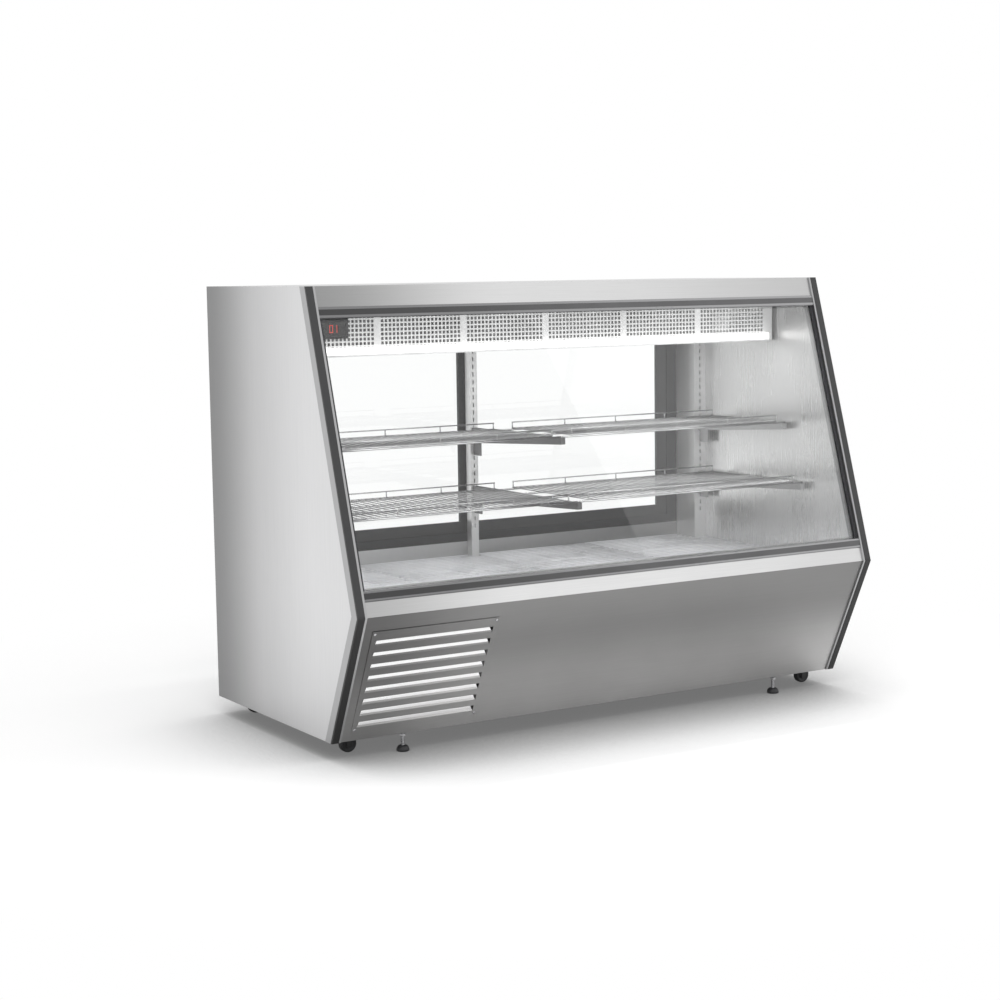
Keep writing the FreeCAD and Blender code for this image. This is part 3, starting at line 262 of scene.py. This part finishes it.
# Painted reflection: the canopy fades darker towards its left end and a little towards its right, and
# the sill does the same, less strongly
canopy_steel = brushed_steel("canopy_steel", (0.73, 0.73, 0.73), 0.34, long_grain, 0.8,
                             painted_fades=[(along_x, -0.95, -0.25, 0.44, 1.0),
                                    (along_x, 0.0, 0.95, 1.0, 0.78)])
sill_steel = brushed_steel("sill_steel", (0.78, 0.78, 0.78), 0.34, long_grain, 0.8,
                           painted_fades=[(along_x, -0.95, -0.35, 0.60, 1.0),
                                  (along_x, 0.1, 0.95, 1.0, 0.90)])
dress(top_steel, "top_panel")
dress(canopy_steel, "canopy_fascia")
dress(sill_steel, "front_sill")

# ---- Glass rails and their inserts ------------------------------------------------------------
# Two anodised extrusions hold the front glass. A black plastic strip is pressed into a groove
# along each, and a black gasket runs up each side of the glass.

# Painted reflection: the rails fade lighter from left to right
rail_alloy = brushed_steel("rail_alloy", (0.30, 0.30, 0.305), 0.30, long_grain, 0.6, edge=0.0006,
                           painted_fades=[(along_x, -0.9, 0.6, 0.75, 1.3)])
dress(rail_alloy, "glass_rails")
channel_alloy = brushed_steel("channel_alloy", (0.34, 0.34, 0.345), 0.32, upright_grain, 0.5,
                              edge=0.0006)
dress(channel_alloy, "side_channels")
# Painted reflection: the inserts fade lighter from left to right
insert_black = moulded("insert_black", (0.042, 0.042, 0.043), 0.42, 1200.0, 0.15, 0.0008,
                       painted_fades=[(along_x, -0.9, 0.2, 0.7, 2.1)])
gasket_black = moulded("gasket_black", (0.03, 0.03, 0.033), 0.5, 1500.0, 0.3, 0.001)
dress(insert_black, "rail_inserts")
dress(gasket_black, "side_seals")

# ---- Front glass ------------------------------------------------------------------------------
# One leaning sheet of toughened glass, eight millimetres thick and almost without colour.

def clear_glass(name, tint):
    """Glass that lets light through to what stands behind it instead of casting a hard shadow."""
    finish, tree, shader = finish_of(name, tint, 0.0, IOR=1.45, Transmission_Weight=1.0)
    clear = tree.nodes.new("ShaderNodeBsdfTransparent")
    clear.inputs["Color"].default_value = (*[0.5 + 0.5 * part for part in tint], 1)
    path = tree.nodes.new("ShaderNodeLightPath")
    either = maths(tree, "MAXIMUM", path.outputs["Is Shadow Ray"], path.outputs["Is Diffuse Ray"])
    blend = tree.nodes.new("ShaderNodeMixShader")
    tree.links.new(either, blend.inputs["Fac"])
    tree.links.new(shader.outputs["BSDF"], blend.inputs[1])
    tree.links.new(clear.outputs["BSDF"], blend.inputs[2])
    tree.links.new(blend.outputs["Shader"], tree.nodes["Material Output"].inputs["Surface"])
    return finish


dress(clear_glass("front_pane", (0.992, 0.996, 0.994)), "front_glass")

# ---- Lower front panel, louvre and its screws -------------------------------------------------
# A folded stainless skirt closes the machinery bay. A pressed louvre with upturned blades covers
# the condenser and is held by four pan head screws, one in each corner.

# Painted reflection and shade shared by the skirt and the louvre plate: darker towards the left end,
# a little darker towards the right, and much lighter towards the foot
skirt_painted_fades = [(along_x, -0.90, -0.45, 0.52, 1.0), (along_x, 0.0, 0.9, 1.0, 0.86),
               (upward, 0.06, 0.34, 2.30, 0.95)]
skirt_tone = (0.30, 0.298, 0.296)
skirt_steel = brushed_steel("skirt_steel", skirt_tone, 0.38, long_grain, 1.6, painted_fades=skirt_painted_fades)
louvre_steel = brushed_steel("louvre_steel", skirt_tone, 0.34, long_grain, edge=0.0008,
                             painted_fades=skirt_painted_fades)
dress(skirt_steel, "lower_front_panel")
dress(louvre_steel, "louvre_panel")


def piece(name, points, faces, finish, body, smooth=False):
    """A new mesh piece, in place, riding on its body."""
    mesh = bpy.data.meshes.new(name)
    mesh.from_pydata(np.asarray(points).tolist(), [], [tuple(face) for face in faces])
    mesh.update()
    if smooth:
        mesh.polygons.foreach_set("use_smooth", np.ones(len(mesh.polygons), bool))
    mesh.materials.append(finish)
    made = bpy.data.objects.new(name, mesh)
    bpy.context.scene.collection.objects.link(made)
    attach(made, body)
    return made


def turned(profile, centres, axis, across, steps):
    """Profile of (distance along, radius) carried once round the axis at each centre.

    A point is centre + axis*along + radius*(across*cos a + (axis x across)*sin a).
    """
    profile = np.asarray(profile, float)
    centres = np.asarray(centres, float).reshape(-1, 3)
    axis = np.asarray(axis, float) / np.linalg.norm(axis)
    across = np.asarray(across, float) / np.linalg.norm(across)
    other = np.cross(axis, across)
    angle = np.arange(steps) * 2 * np.pi / steps
    round_ = np.cos(angle)[:, None] * across + np.sin(angle)[:, None] * other
    distance, radius = profile[:, 0, None, None], profile[:, 1, None, None]
    ring = distance * axis + radius * round_[None]
    points = (centres[:, None, None, :] + ring[None]).reshape(-1, 3)
    rows, count = len(profile), len(centres)
    i, j = np.meshgrid(np.arange(rows - 1), np.arange(steps), indexing="ij")
    a = (i * steps + j).ravel()
    b = (i * steps + (j + 1) % steps).ravel()
    quads = np.stack([a, b, b + steps, a + steps], axis=1)
    shift = np.arange(count) * rows * steps
    faces = (quads[None] + shift[:, None, None]).reshape(-1, 4).tolist()
    first = np.arange(steps)[::-1]
    last = np.arange(steps) + (rows - 1) * steps
    for move in shift:
        faces.append((first + move).tolist())
        faces.append((last + move).tolist())
    return points, faces


even_grain = (300.0, 300.0, 300.0)
screw_steel = brushed_steel("screw_steel", (0.50, 0.50, 0.51), 0.25, even_grain, 0.5, edge=0.0005)
nose_y, nose_z, panel_lean, plate_sunk = -0.480, 0.433, 0.46825, 0.004


def plate_front(z):
    """Where the louvre's plate has its front at a height: it leans back below the nose."""
    return nose_y + panel_lean * (nose_z - z) + plate_sunk * math.hypot(1.0, panel_lean)


screw_low, screw_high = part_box("louvre_screws")
screw_rows, head_r = (0.089, 0.381), 0.0045
heads = [(x, plate_front(z), z) for x in (screw_low.x + head_r, screw_high.x - head_r)
         for z in screw_rows]
head_profile = [(0.0, 0.0044), (-0.0008, head_r), (-0.0016, 0.0040), (-0.0022, 0.0028),
                (-0.0025, 0.0014)]
points, faces = turned(head_profile, heads, (0, 1, panel_lean), (1, 0, 0), 20)
faces = [face[::-1] for face in faces]
screws = piece("louvre_screw_heads", points, faces, screw_steel, "case", True)
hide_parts("louvre_screws")

# Each blade is pressed out of the plate: it bellies outwards and its ends are drawn in at the top
blade_left, blade_right, blade_draw = -0.8436, -0.4664, 0.007
blade_low, blade_rise, blade_pitch, blade_count = 0.0955, 0.0160, 0.0355, 8
belly_out, blade_sheet = 0.0006, 0.0004
belly = np.linspace(0.0, 1.0, 7)
points, faces = [], []
for number in range(blade_count):
    low = blade_low + blade_pitch * number
    z = low + blade_rise * belly
    front = plate_front(low) + belly_out * (1.0 + np.cos(np.pi * belly))
    back = front + blade_sheet
    section = np.concatenate([np.column_stack([front, z]), np.column_stack([back, z])[::-1]])
    draw = blade_draw * (section[:, 1] - low) / blade_rise
    points += [np.column_stack([blade_left + draw, section]),
               np.column_stack([blade_right - draw, section])]
    count = len(section)
    j = np.arange(count) + number * 2 * count
    after = np.roll(j, -1)
    faces += np.column_stack([j, j + count, after + count, after]).tolist()
    faces += [j.tolist(), (j[::-1] + count).tolist()]
# Painted reflection: the blades are given a far lighter tone than the plate they are pressed from,
# for the bright room they face
blade_painted_reflection = brushed_steel("blade_painted_reflection", (0.86, 0.86, 0.86), 0.30, long_grain, 0.8, edge=0.0004)
piece("louvre_blades", np.concatenate(points), faces, blade_painted_reflection, "case")

# ---- Insulated well ---------------------------------------------------------------------------
# The cold pan under the deck: brushed stainless inside, foam in its walls, open at the top. Its
# rear wall stands up behind the deck and shows an upright grain.

# Painted light and shade: the well fades lighter towards the left and much lighter at its lowest part
well_steel = brushed_steel("well_steel", (0.56, 0.56, 0.56), 0.34, (150.0, 150.0, 4.0), 2.6,
                           edge=0.002, painted_fades=[(along_x, -0.8, 0.4, 1.35, 0.80),
                                              (upward, 0.404, 0.430, 1.5, 1.0)])
dress(well_steel, "well")

# ---- Wire deck racks --------------------------------------------------------------------------
# Four welded grids of white coated wire stand in the well on short legs. Close wires run along
# the case, wider ones under them from front to back.

def tubes(starts, ends, radius, sides=8):
    """Straight round wires: at both ends a ring of points start + r*(u*cos a + v*sin a), u and v
    square to the wire, joined along it and closed by a flat cap."""
    starts = np.asarray(starts, float)
    ends = np.asarray(ends, float)
    run = ends - starts
    run = run / np.linalg.norm(run, axis=1, keepdims=True)
    helper = np.where(np.abs(run[:, 2:3]) > 0.9, [[1.0, 0.0, 0.0]], [[0.0, 0.0, 1.0]])
    u = np.cross(run, helper)
    u = u / np.linalg.norm(u, axis=1, keepdims=True)
    v = np.cross(run, u)
    angle = (np.arange(sides) + 0.5) * 2 * np.pi / sides
    angle = angle[None, :, None]
    ring = radius * (u[:, None] * np.cos(angle) + v[:, None] * np.sin(angle))
    points = np.stack([starts[:, None] + ring, ends[:, None] + ring], axis=1).reshape(-1, 3)
    j = np.arange(sides)
    after = np.roll(j, -1)
    quads = np.column_stack([j, after, after + sides, j + sides])
    shift = np.arange(len(starts)) * 2 * sides
    faces = (quads[None] + shift[:, None, None]).reshape(-1, 4).tolist()
    caps = np.stack([j[::-1], j + sides])
    faces += (caps[None] + shift[:, None, None]).reshape(-1, sides).tolist()
    return points, faces


def joined(parts):
    """Several (points, faces) pairs as one."""
    points, faces, shift = [], [], 0
    for some_points, some_faces in parts:
        points.append(some_points)
        faces += [[index + shift for index in face] for face in some_faces]
        shift += len(some_points)
    return np.concatenate(points), faces


def spread(x, y, z):
    """One point for each combination of places, single numbers repeated as needed."""
    return np.stack(np.broadcast_arrays(x, y, z), axis=-1).astype(float).reshape(-1, 3)


wire_white = moulded("wire_white", (0.93, 0.935, 0.96), 0.30, 500.0, 0.08, 0.0006, Coat_Weight=0.3)
rack_r, rack_rows, rack_bars, leg_rows = 0.002, 31, 5, [3, 15, 23]
seam_row, seam_step, last_weld_y = 20, 0.008, 0.40
weld_profile = [(-0.0018, 0.0020), (0.0004, 0.0036), (0.0018, 0.0028), (0.0024, 0.0012)]

# A rack stops short of the post beside it: (its end there, where that is, from how far back)
notches = {1: ("left", -0.833, 0.337), 2: ("right", -0.028, 0.411),
           3: ("left", 0.006, 0.411), 4: ("right", 0.833, 0.337)}
for number, (notch_end, notch_x, notch_y) in notches.items():
    name = "deck_rack_%d" % number
    low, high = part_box(name)
    y = np.linspace(low.y + rack_r, high.y - rack_r, rack_rows)
    leg_y = y[leg_rows]
    y = np.append(y, y[seam_row] + seam_step)
    bars_x = np.linspace(low.x + rack_r, high.x - rack_r, rack_bars)
    bars_y = np.full(rack_bars, high.y)
    ends_x = {"left": np.full(len(y), low.x), "right": np.full(len(y), high.x)}
    ends_x[notch_end][y > notch_y] = notch_x
    bars_y[0 if notch_end == "left" else -1] = notch_y + rack_r
    top = high.z - rack_r
    under = top - 2 * rack_r
    leg_x, leg_y = np.meshgrid(bars_x, leg_y)
    weld_x, weld_y = np.meshgrid(bars_x[1:-1], y[y < last_weld_y])
    points, faces = joined([
        turned(weld_profile, spread(weld_x, weld_y, top), (0, 0, 1), (1, 0, 0), 8),
        tubes(spread(ends_x["left"], y, top), spread(ends_x["right"], y, top), rack_r),
        tubes(spread(bars_x, low.y, under), spread(bars_x, bars_y, under), rack_r),
        tubes(spread(leg_x, leg_y, low.z), spread(leg_x, leg_y, under), rack_r),
    ])
    wires = piece(name + "_wires", points, faces, wire_white, name, True)
    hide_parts(name)

# ---- Rear frame and sliding doors -------------------------------------------------------------
# Dark anodised frame with two tracks, and two doors of the same section with clear panes. Each
# door has a recessed pull at its outer stile.

frame_dark = brushed_steel("frame_dark", (0.018, 0.018, 0.019), 0.40, long_grain, metal=0.6)
door_dark = brushed_steel("door_dark", (0.042, 0.042, 0.043), 0.38, (60.0, 420.0, 60.0), 0.8,
                          metal=0.6)
dress(frame_dark, "rear_frame")
dress(door_dark, "door_left_frame", "door_right_frame")
dress(clear_glass("door_pane", (0.990, 0.995, 0.993)), "door_left_glass", "door_right_glass")

# ---- Posts and shelf brackets -----------------------------------------------------------------
# Slotted stainless posts stand at both back corners and in the middle. Dark pressed steel arms
# hook into their slots and carry the shelves.

post_steel = brushed_steel("post_steel", (0.80, 0.80, 0.80), 0.32, upright_grain, 0.8, metal=0.7,
                           edge=0.0008)
dress(post_steel, "centre_post", "corner_posts")
# Painted light: the arms fade much lighter towards the right end of the case
arm_steel = brushed_steel("arm_steel", (0.15, 0.15, 0.152), 0.38, (40.0, 40.0, 420.0), 0.8,
                          edge=0.0008, painted_fades=[(along_x, 0.3, 0.9, 1.0, 2.6)])
dress(arm_steel, "shelf_brackets")

# ---- Wire shelves -----------------------------------------------------------------------------
# Four shelves of bright plated wire, each with four stout bars along it, close wires across it
# and a low guard at front and back.

wire_plated = brushed_steel("wire_plated", (0.60, 0.60, 0.605), 0.24, (200.0, 200.0, 200.0), 0.5,
                            edge=0.0005)
bar_r, shelf_r, shelf_bars, shelf_wires, guard_posts = 0.003, 0.002, 4, 33, 5
grid_out, centre_x, centre_gap = 0.834, -0.011, 0.034
for tier in ("upper", "lower"):
    for side, sign in (("left", -1), ("right", 1)):
        name = "shelf_%s_%s" % (tier, side)
        low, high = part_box(name)
        deck = low.z + 2 * bar_r + shelf_r
        guard = high.z - shelf_r
        bar_z = low.z + bar_r
        inner, outer = centre_x + sign * centre_gap, sign * grid_out
        inset = sign * shelf_r
        bar_y = np.linspace(low.y + bar_r, high.y - bar_r, shelf_bars)
        wire_x = np.linspace(inner + inset, outer - inset, shelf_wires)
        post_x = np.linspace(inner + inset, outer - inset, guard_posts)
        guard_rows = [low.y + shelf_r, high.y - shelf_r]
        rail_y, rail_z = np.meshgrid(guard_rows, [deck, guard])
        post_x, post_y = np.meshgrid(post_x, guard_rows)
        points, faces = joined([
            tubes(spread(low.x, bar_y, bar_z), spread(high.x, bar_y, bar_z), bar_r),
            tubes(spread(wire_x, low.y, deck), spread(wire_x, high.y, deck), shelf_r),
            tubes(spread(inner, rail_y, rail_z), spread(outer, rail_y, rail_z), shelf_r),
            tubes(spread(post_x, post_y, deck), spread(post_x, post_y, guard), shelf_r),
        ])
        wires = piece(name + "_wires", points, faces, wire_plated, name, True)
        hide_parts(name)

# ---- Evaporator cover, coil and fans ----------------------------------------------------------
# A white coated sheet punched with square holes hangs from the roof and hides the finned coil and
# its two fans.

cover_white = moulded("cover_white", (0.84, 0.84, 0.84), 0.34, 260.0, 0.05, 0.0008)
dress(cover_white, "evaporator_cover")

# Thin upright fins, one every few millimetres
fins, fins_in, fins_out = effect("fin_stack", {"Pitch": 900.0}, ("Tone", "Height"))
fin_place = fins.nodes.new("ShaderNodeTexCoord")
fin_part = fins.nodes.new("ShaderNodeSeparateXYZ")
fins.links.new(fin_place.outputs["Object"], fin_part.inputs[0])
fin_angle = maths(fins, "MULTIPLY", fin_part.outputs["X"], fins_in.outputs["Pitch"])
fin_wave = maths(fins, "SINE", fin_angle)
fins.links.new(ranged(fins, fin_wave, -0.6, 0.15, -1.0, 0.6), fins_out.inputs["Tone"])
fins.links.new(fin_wave, fins_out.inputs["Height"])


def finned(name, colour, pitch):
    """Bare metal of a coil, seen through the edges of its fins."""
    finish, tree, shader = finish_of(name, colour, 0.35, 0.8)
    group = tree.nodes.new("ShaderNodeGroup")
    group.node_tree = fins
    group.inputs["Pitch"].default_value = pitch
    tree.links.new(tinted(tree, colour, group.outputs["Tone"]), shader.inputs["Base Color"])
    tree.links.new(bumped(tree, group.outputs["Height"], 0.001, 0.6), shader.inputs["Normal"])
    return finish


dress(finned("evaporator_fins", (0.40, 0.40, 0.41), 1500.0), "evaporator_coil")
fan_black = moulded("fan_black", (0.05, 0.05, 0.055), 0.45)
motor_grey = moulded("motor_grey", (0.14, 0.15, 0.16), 0.4, 500.0)
dress(fan_black, "evaporator_fan_left", "evaporator_fan_right", "condenser_fan")
dress(motor_grey, "evaporator_motors")

# ---- Light bar --------------------------------------------------------------------------------
# A slim white channel along the foot of the cover, closed by a frosted lit strip.

housing_white = moulded("housing_white", (0.86, 0.86, 0.86), 0.35, 400.0, 0.05, 0.0006)
dress(housing_white, "light_housing")
lit, _, lit_shader = finish_of("lit_strip", (0.95, 0.95, 0.95), 0.4, IOR=1.2)
lit_shader.inputs["Emission Color"].default_value = (1.0, 0.995, 0.98, 1)
lit_shader.inputs["Emission Strength"].default_value = 1.2
lit_shader.inputs["Alpha"].default_value = 0.72
dress(lit, "light_diffuser")

# ---- Controller -------------------------------------------------------------------------------
# A small black box on the cover with a glossy window and a red display of two figures.

dress(moulded("bezel_black", (0.014, 0.014, 0.015), 0.4, 900.0, 0.15, 0.0015), "controller")
window_black = moulded("window_black", (0.010, 0.010, 0.011), 0.08, 200.0, 0.0, 0.0006)
figure_red, _, figure_shader = finish_of("figure_red", (0.4, 0.02, 0.01), 0.4)
figure_shader.inputs["Emission Color"].default_value = (1.0, 0.06, 0.03, 1)
figure_shader.inputs["Emission Strength"].default_value = 0.75


def slabs(lows, highs):
    """Upright blocks between matching low and high corners."""
    lows = np.asarray(lows, float)
    highs = np.asarray(highs, float)
    square = [(0, 0), (1, 0), (1, 1), (0, 1)]
    corners = np.array([(*corner, level) for level in (0, 1) for corner in square])
    points = (lows[:, None] + (highs - lows)[:, None] * corners[None]).reshape(-1, 3)
    sides = np.array([[0, 3, 2, 1], [4, 5, 6, 7]]
                     + [[j, (j + 1) % 4, (j + 1) % 4 + 4, j + 4] for j in range(4)])
    faces = (sides[None] + (np.arange(len(lows)) * 8)[:, None, None]).reshape(-1, 4).tolist()
    return points, faces


box_low, box_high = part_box("controller")
glass_left, glass_right = box_low.x + 0.010, box_high.x - 0.009
glass_foot, glass_top = box_low.z + 0.009, box_high.z - 0.011
face_y = box_low.y
points, faces = slabs([(glass_left, face_y - 0.0006, glass_foot)],
                      [(glass_right, face_y + 0.0005, glass_top)])
piece("controller_window", points, faces, window_black, "case")

# Seven strokes of a figure: top, upper left and right, middle, lower left and right, foot
figure_w, figure_h, stroke, stroke_gap = 0.012, 0.023, 0.0024, 0.0005
figures_left, figure_pitch = glass_left + 0.050, 0.0135
strokes = {
    "top": ((0, figure_h - stroke), (figure_w, figure_h)),
    "upper_left": ((0, figure_h / 2), (stroke, figure_h)),
    "upper_right": ((figure_w - stroke, figure_h / 2), (figure_w, figure_h)),
    "middle": ((0, (figure_h - stroke) / 2), (figure_w, (figure_h + stroke) / 2)),
    "lower_left": ((0, 0), (stroke, figure_h / 2)),
    "lower_right": ((figure_w - stroke, 0), (figure_w, figure_h / 2)),
    "foot": ((0, 0), (figure_w, stroke)),
}
nought = ("top", "upper_left", "upper_right", "lower_left", "lower_right", "foot")
one = ("upper_right", "lower_right")
figure_z = (glass_foot + glass_top - figure_h) / 2
lows, highs = [], []
for position, names in enumerate((nought, one)):
    x = figures_left + position * figure_pitch
    for name in names:
        (low_x, low_z), (high_x, high_z) = strokes[name]
        lows.append((x + low_x + stroke_gap, face_y - 0.0010, figure_z + low_z + stroke_gap))
        highs.append((x + high_x - stroke_gap, face_y - 0.0005, figure_z + high_z - stroke_gap))
points, faces = slabs(lows, highs)
piece("controller_figures", points, faces, figure_red, "case")

# ---- Base frame and machinery -----------------------------------------------------------------
# Galvanised floor tray on a welded frame, with the compressor, the condenser with its fan and
# shroud, the electrical box and the copper lines that run to the coil above.

zinc = brushed_steel("galvanised_sheet", (0.34, 0.35, 0.36), 0.45, (40.0, 40.0, 40.0), 1.6, metal=0.7)
dress(zinc, "base_frame", "condenser_shroud")
dress(finned("condenser_fins", (0.45, 0.45, 0.46), 1100.0), "condenser_coil")
dress(moulded("compressor_enamel", (0.016, 0.016, 0.017), 0.3, 300.0, 0.15, 0.003), "compressor")
dress(moulded("box_moulding", (0.24, 0.25, 0.26), 0.5), "electrical_box")
copper_tone = (0.60, 0.27, 0.16)
copper, copper_tree, copper_shader = finish_of("copper_tube", copper_tone, 0.3, 1.0)
dull = noise(copper_tree, copper_tree.nodes.new("ShaderNodeTexCoord").outputs["Object"], 30.0)
copper_tree.links.new(ranged(copper_tree, dull, 0.22, 0.5), copper_shader.inputs["Roughness"])
copper_tree.links.new(tinted(copper_tree, copper_tone, ranged(copper_tree, dull, 0.1, -0.3)),
                      copper_shader.inputs["Base Color"])
dress(copper, "refrigerant_lines")
back_steel = brushed_steel("back_steel", (0.50, 0.50, 0.505), 0.38, long_grain, 1.4)
dress(back_steel, "rear_vent_panel")

# ---- Castors and levelling feet ---------------------------------------------------------------
# Four swivel castors with black enamelled forks and solid rubber wheels, and two screw feet at
# the front that take the weight once the case is in place.

fork_black = moulded("fork_black", (0.016, 0.016, 0.017), 0.36, 700.0, 0.15, 0.0012)
tyre_black = moulded("tyre_black", (0.035, 0.035, 0.037), 0.55, 700.0, 0.3)
wheel_r, wheel_half, bore_r, web_inset = 0.025, 0.010, 0.00405, 0.0015

# One side of a wheel from the bore out, as (how far in from its side, radius)
wheel_side = [(0.0, bore_r), (0.0, 0.009), (web_inset, 0.0105), (web_inset, 0.0175),
              (0.0, 0.019), (0.0, 0.0225), (0.0012, 0.0243), (0.0035, wheel_r)]
wheel_profile = ([(inset - wheel_half, radius) for inset, radius in wheel_side]
                 + [(wheel_half - inset, radius) for inset, radius in reversed(wheel_side)])
for row in ("front", "rear"):
    for side in ("left", "right"):
        tag = row + "_" + side
        dress(fork_black, "castor_fork_" + tag)
        low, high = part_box("castor_wheel_" + tag)
        points, faces = turned(wheel_profile, (low + high) / 2, (0, 1, 0), (1, 0, 0), 48)
        wheel = piece("castor_tyre_" + tag, points, faces, tyre_black, "wheel_" + tag, True)
        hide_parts("castor_wheel_" + tag)
foot_black = moulded("foot_black", (0.028, 0.028, 0.03), 0.42, 900.0, 0.3)
stud_zinc = brushed_steel("stud_zinc", (0.52, 0.52, 0.53), 0.28, even_grain, 0.6, edge=0.0004)
pad_profile = [(0.0, 0.0165), (0.0012, 0.0185), (0.004, 0.019), (0.008, 0.0185), (0.012, 0.0168),
               (0.0155, 0.0140), (0.0175, 0.0105), (0.018, 0.0075)]
thread_low, thread_pitch, thread_turns, steps_a_turn = 0.018, 0.0015, 44, 3
thread_z = thread_low + thread_pitch / steps_a_turn * np.arange(thread_turns * steps_a_turn)
thread_r = 0.00565 + 0.00035 * np.cos(thread_z / thread_pitch * 2 * np.pi)
stud_profile = np.column_stack([thread_z, thread_r])
nut_profile = [(0.044, 0.0083), (0.0445, 0.0093), (0.0505, 0.0093), (0.051, 0.0083)]
for side in ("left", "right"):
    low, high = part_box("levelling_foot_" + side)
    middle = ((low.x + high.x) / 2, (low.y + high.y) / 2, low.z)
    points, faces = turned(pad_profile, [middle], (0, 0, 1), (1, 0, 0), 40)
    pad = piece("foot_pad_" + side, points, faces, foot_black, "foot_" + side, True)
    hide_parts("levelling_foot_" + side)
    points, faces = joined([turned(stud_profile, [middle], (0, 0, 1), (1, 0, 0), 20),
                            turned(nut_profile, [middle], (0, 0, 1), (1, 0, 0), 6)])
    piece("foot_stud_" + side, points, faces, stud_zinc, "foot_" + side)

# ---- Floor, light and camera ------------------------------------------------------------------
# A pale seamless floor, soft lamps above and to both sides, and the view from the front left.

def looked_at(tree):
    """One for what the view, metal or glass sees directly, nought for the light that falls on it."""
    path = tree.nodes.new("ShaderNodeLightPath")
    mirrored = maths(tree, "MAXIMUM", path.outputs["Is Glossy Ray"],
                     path.outputs["Is Transmission Ray"])
    return maths(tree, "MAXIMUM", path.outputs["Is Camera Ray"], mirrored)


floor_half, floor_tone = 14, (0.93, 0.93, 0.93)
floor_mesh = bpy.data.meshes.new("floor")
floor_mesh.from_pydata([(x * floor_half, y * floor_half, 0)
                        for x, y in ((-1, -1), (1, -1), (1, 1), (-1, 1))], [], [(0, 1, 2, 3)])
floor = bpy.data.objects.new("floor", floor_mesh)
bpy.context.scene.collection.objects.link(floor)
floor_paint, floor_tree, floor_shader = finish_of("floor_paint", floor_tone, 0.9)
floor_mesh.materials.append(floor_paint)

# Close under the case the floor's colour is darkened by ambient occlusion, a painted shadow over its
# cast one
near = floor_tree.nodes.new("ShaderNodeAmbientOcclusion")
near.samples = 6
near.inputs["Distance"].default_value = 0.6
painted_floor_shadow = ranged(floor_tree, near.outputs["AO"], 0.06, 1.0, 0.28, 0.84)
floor_tree.links.new(tinted(floor_tree, floor_tone, maths(floor_tree, "SUBTRACT", painted_floor_shadow, 1.0)),
                     floor_shader.inputs["Base Color"])

# Away from the case the floor shows as plain white to the view, to metal and to glass
away = floor_tree.nodes.new("ShaderNodeVectorMath")
away.operation = "LENGTH"
floor_tree.links.new(floor_tree.nodes.new("ShaderNodeTexCoord").outputs["Object"], away.inputs[0])
far = ranged(floor_tree, away.outputs["Value"], 0.0, 1.0, 1.1, 2.4)
far.node.interpolation_type = "SMOOTHSTEP"
floor_seen = looked_at(floor_tree)
white = floor_tree.nodes.new("ShaderNodeEmission")
faint = floor_tree.nodes.new("ShaderNodeEmission")
floor_tree.links.new(maths(floor_tree, "MULTIPLY", floor_seen, 0.16), faint.inputs["Strength"])
lifted = floor_tree.nodes.new("ShaderNodeAddShader")
floor_tree.links.new(floor_shader.outputs["BSDF"], lifted.inputs[0])
floor_tree.links.new(faint.outputs["Emission"], lifted.inputs[1])
seamless = floor_tree.nodes.new("ShaderNodeMixShader")
floor_tree.links.new(maths(floor_tree, "MULTIPLY", far, floor_seen), seamless.inputs["Fac"])
floor_tree.links.new(lifted.outputs["Shader"], seamless.inputs[1])
floor_tree.links.new(white.outputs["Emission"], seamless.inputs[2])
floor_tree.links.new(seamless.outputs["Shader"],
                     floor_tree.nodes["Material Output"].inputs["Surface"])

world = bpy.data.worlds.new("studio")
bpy.context.scene.world = world
world.use_nodes = True
sky = world.node_tree
backdrop = sky.nodes["Background"]
sky.links.new(ranged(sky, looked_at(sky), 0.62, 1.0, 0.0, 1.0), backdrop.inputs["Strength"])
backdrop.inputs["Color"].default_value = (1, 1, 1, 1)


def lamp(name, spot, aim, size, watts):
    """A soft panel that lights the case without showing up as a glare in its metal."""
    light = bpy.data.lights.new(name, "AREA")
    light.shape = "RECTANGLE"
    light.size, light.size_y = size
    light.energy = watts
    holder = bpy.data.objects.new(name, light)
    bpy.context.scene.collection.objects.link(holder)
    holder.location = spot
    holder.visible_glossy = False
    holder.rotation_euler = (Vector(aim) - Vector(spot)).to_track_quat("-Z", "Y").to_euler()


lamp("key", (-3.4, -4.4, 3.8), (0, 0, 0.6), (4.0, 4.0), 110)
lamp("top", (0.0, -0.6, 4.4), (0, 0, 0.6), (4.4, 3.2), 55)
lamp("fill", (4.4, -3.4, 2.8), (0, 0, 0.7), (3.4, 3.4), 55)
lamp("case_light", (0.0, -0.075, 1.112), (0.0, -0.10, 0.4), (1.66, 0.05), 6.0)
lamp("cover_light", (0.0, -0.165, 1.200), (0.0, 0.0, 1.200), (1.68, 0.10), 0.42)

turn, down, roll = math.radians(31.516), math.radians(6.588), math.radians(-0.8)
viewpoint = (-3.3477, -5.1863, 1.3631)
ahead = Vector((math.sin(turn) * math.cos(down), math.cos(turn) * math.cos(down), -math.sin(down)))
right = Vector((math.cos(turn), -math.sin(turn), 0))
up = right.cross(ahead)
right_rolled = right * math.cos(roll) + up * math.sin(roll)
up_rolled = up * math.cos(roll) - right * math.sin(roll)
lens = bpy.data.cameras.new("view")
lens.sensor_width = 36
lens.lens = 71.54
lens.clip_end = 100
viewer = bpy.data.objects.new("view", lens)
bpy.context.scene.collection.objects.link(viewer)
stand = Matrix((right_rolled, up_rolled, -ahead)).transposed().to_4x4()
stand.translation = viewpoint
viewer.matrix_world = stand
bpy.context.scene.camera = viewer
bpy.context.scene.view_settings.view_transform = "Standard"
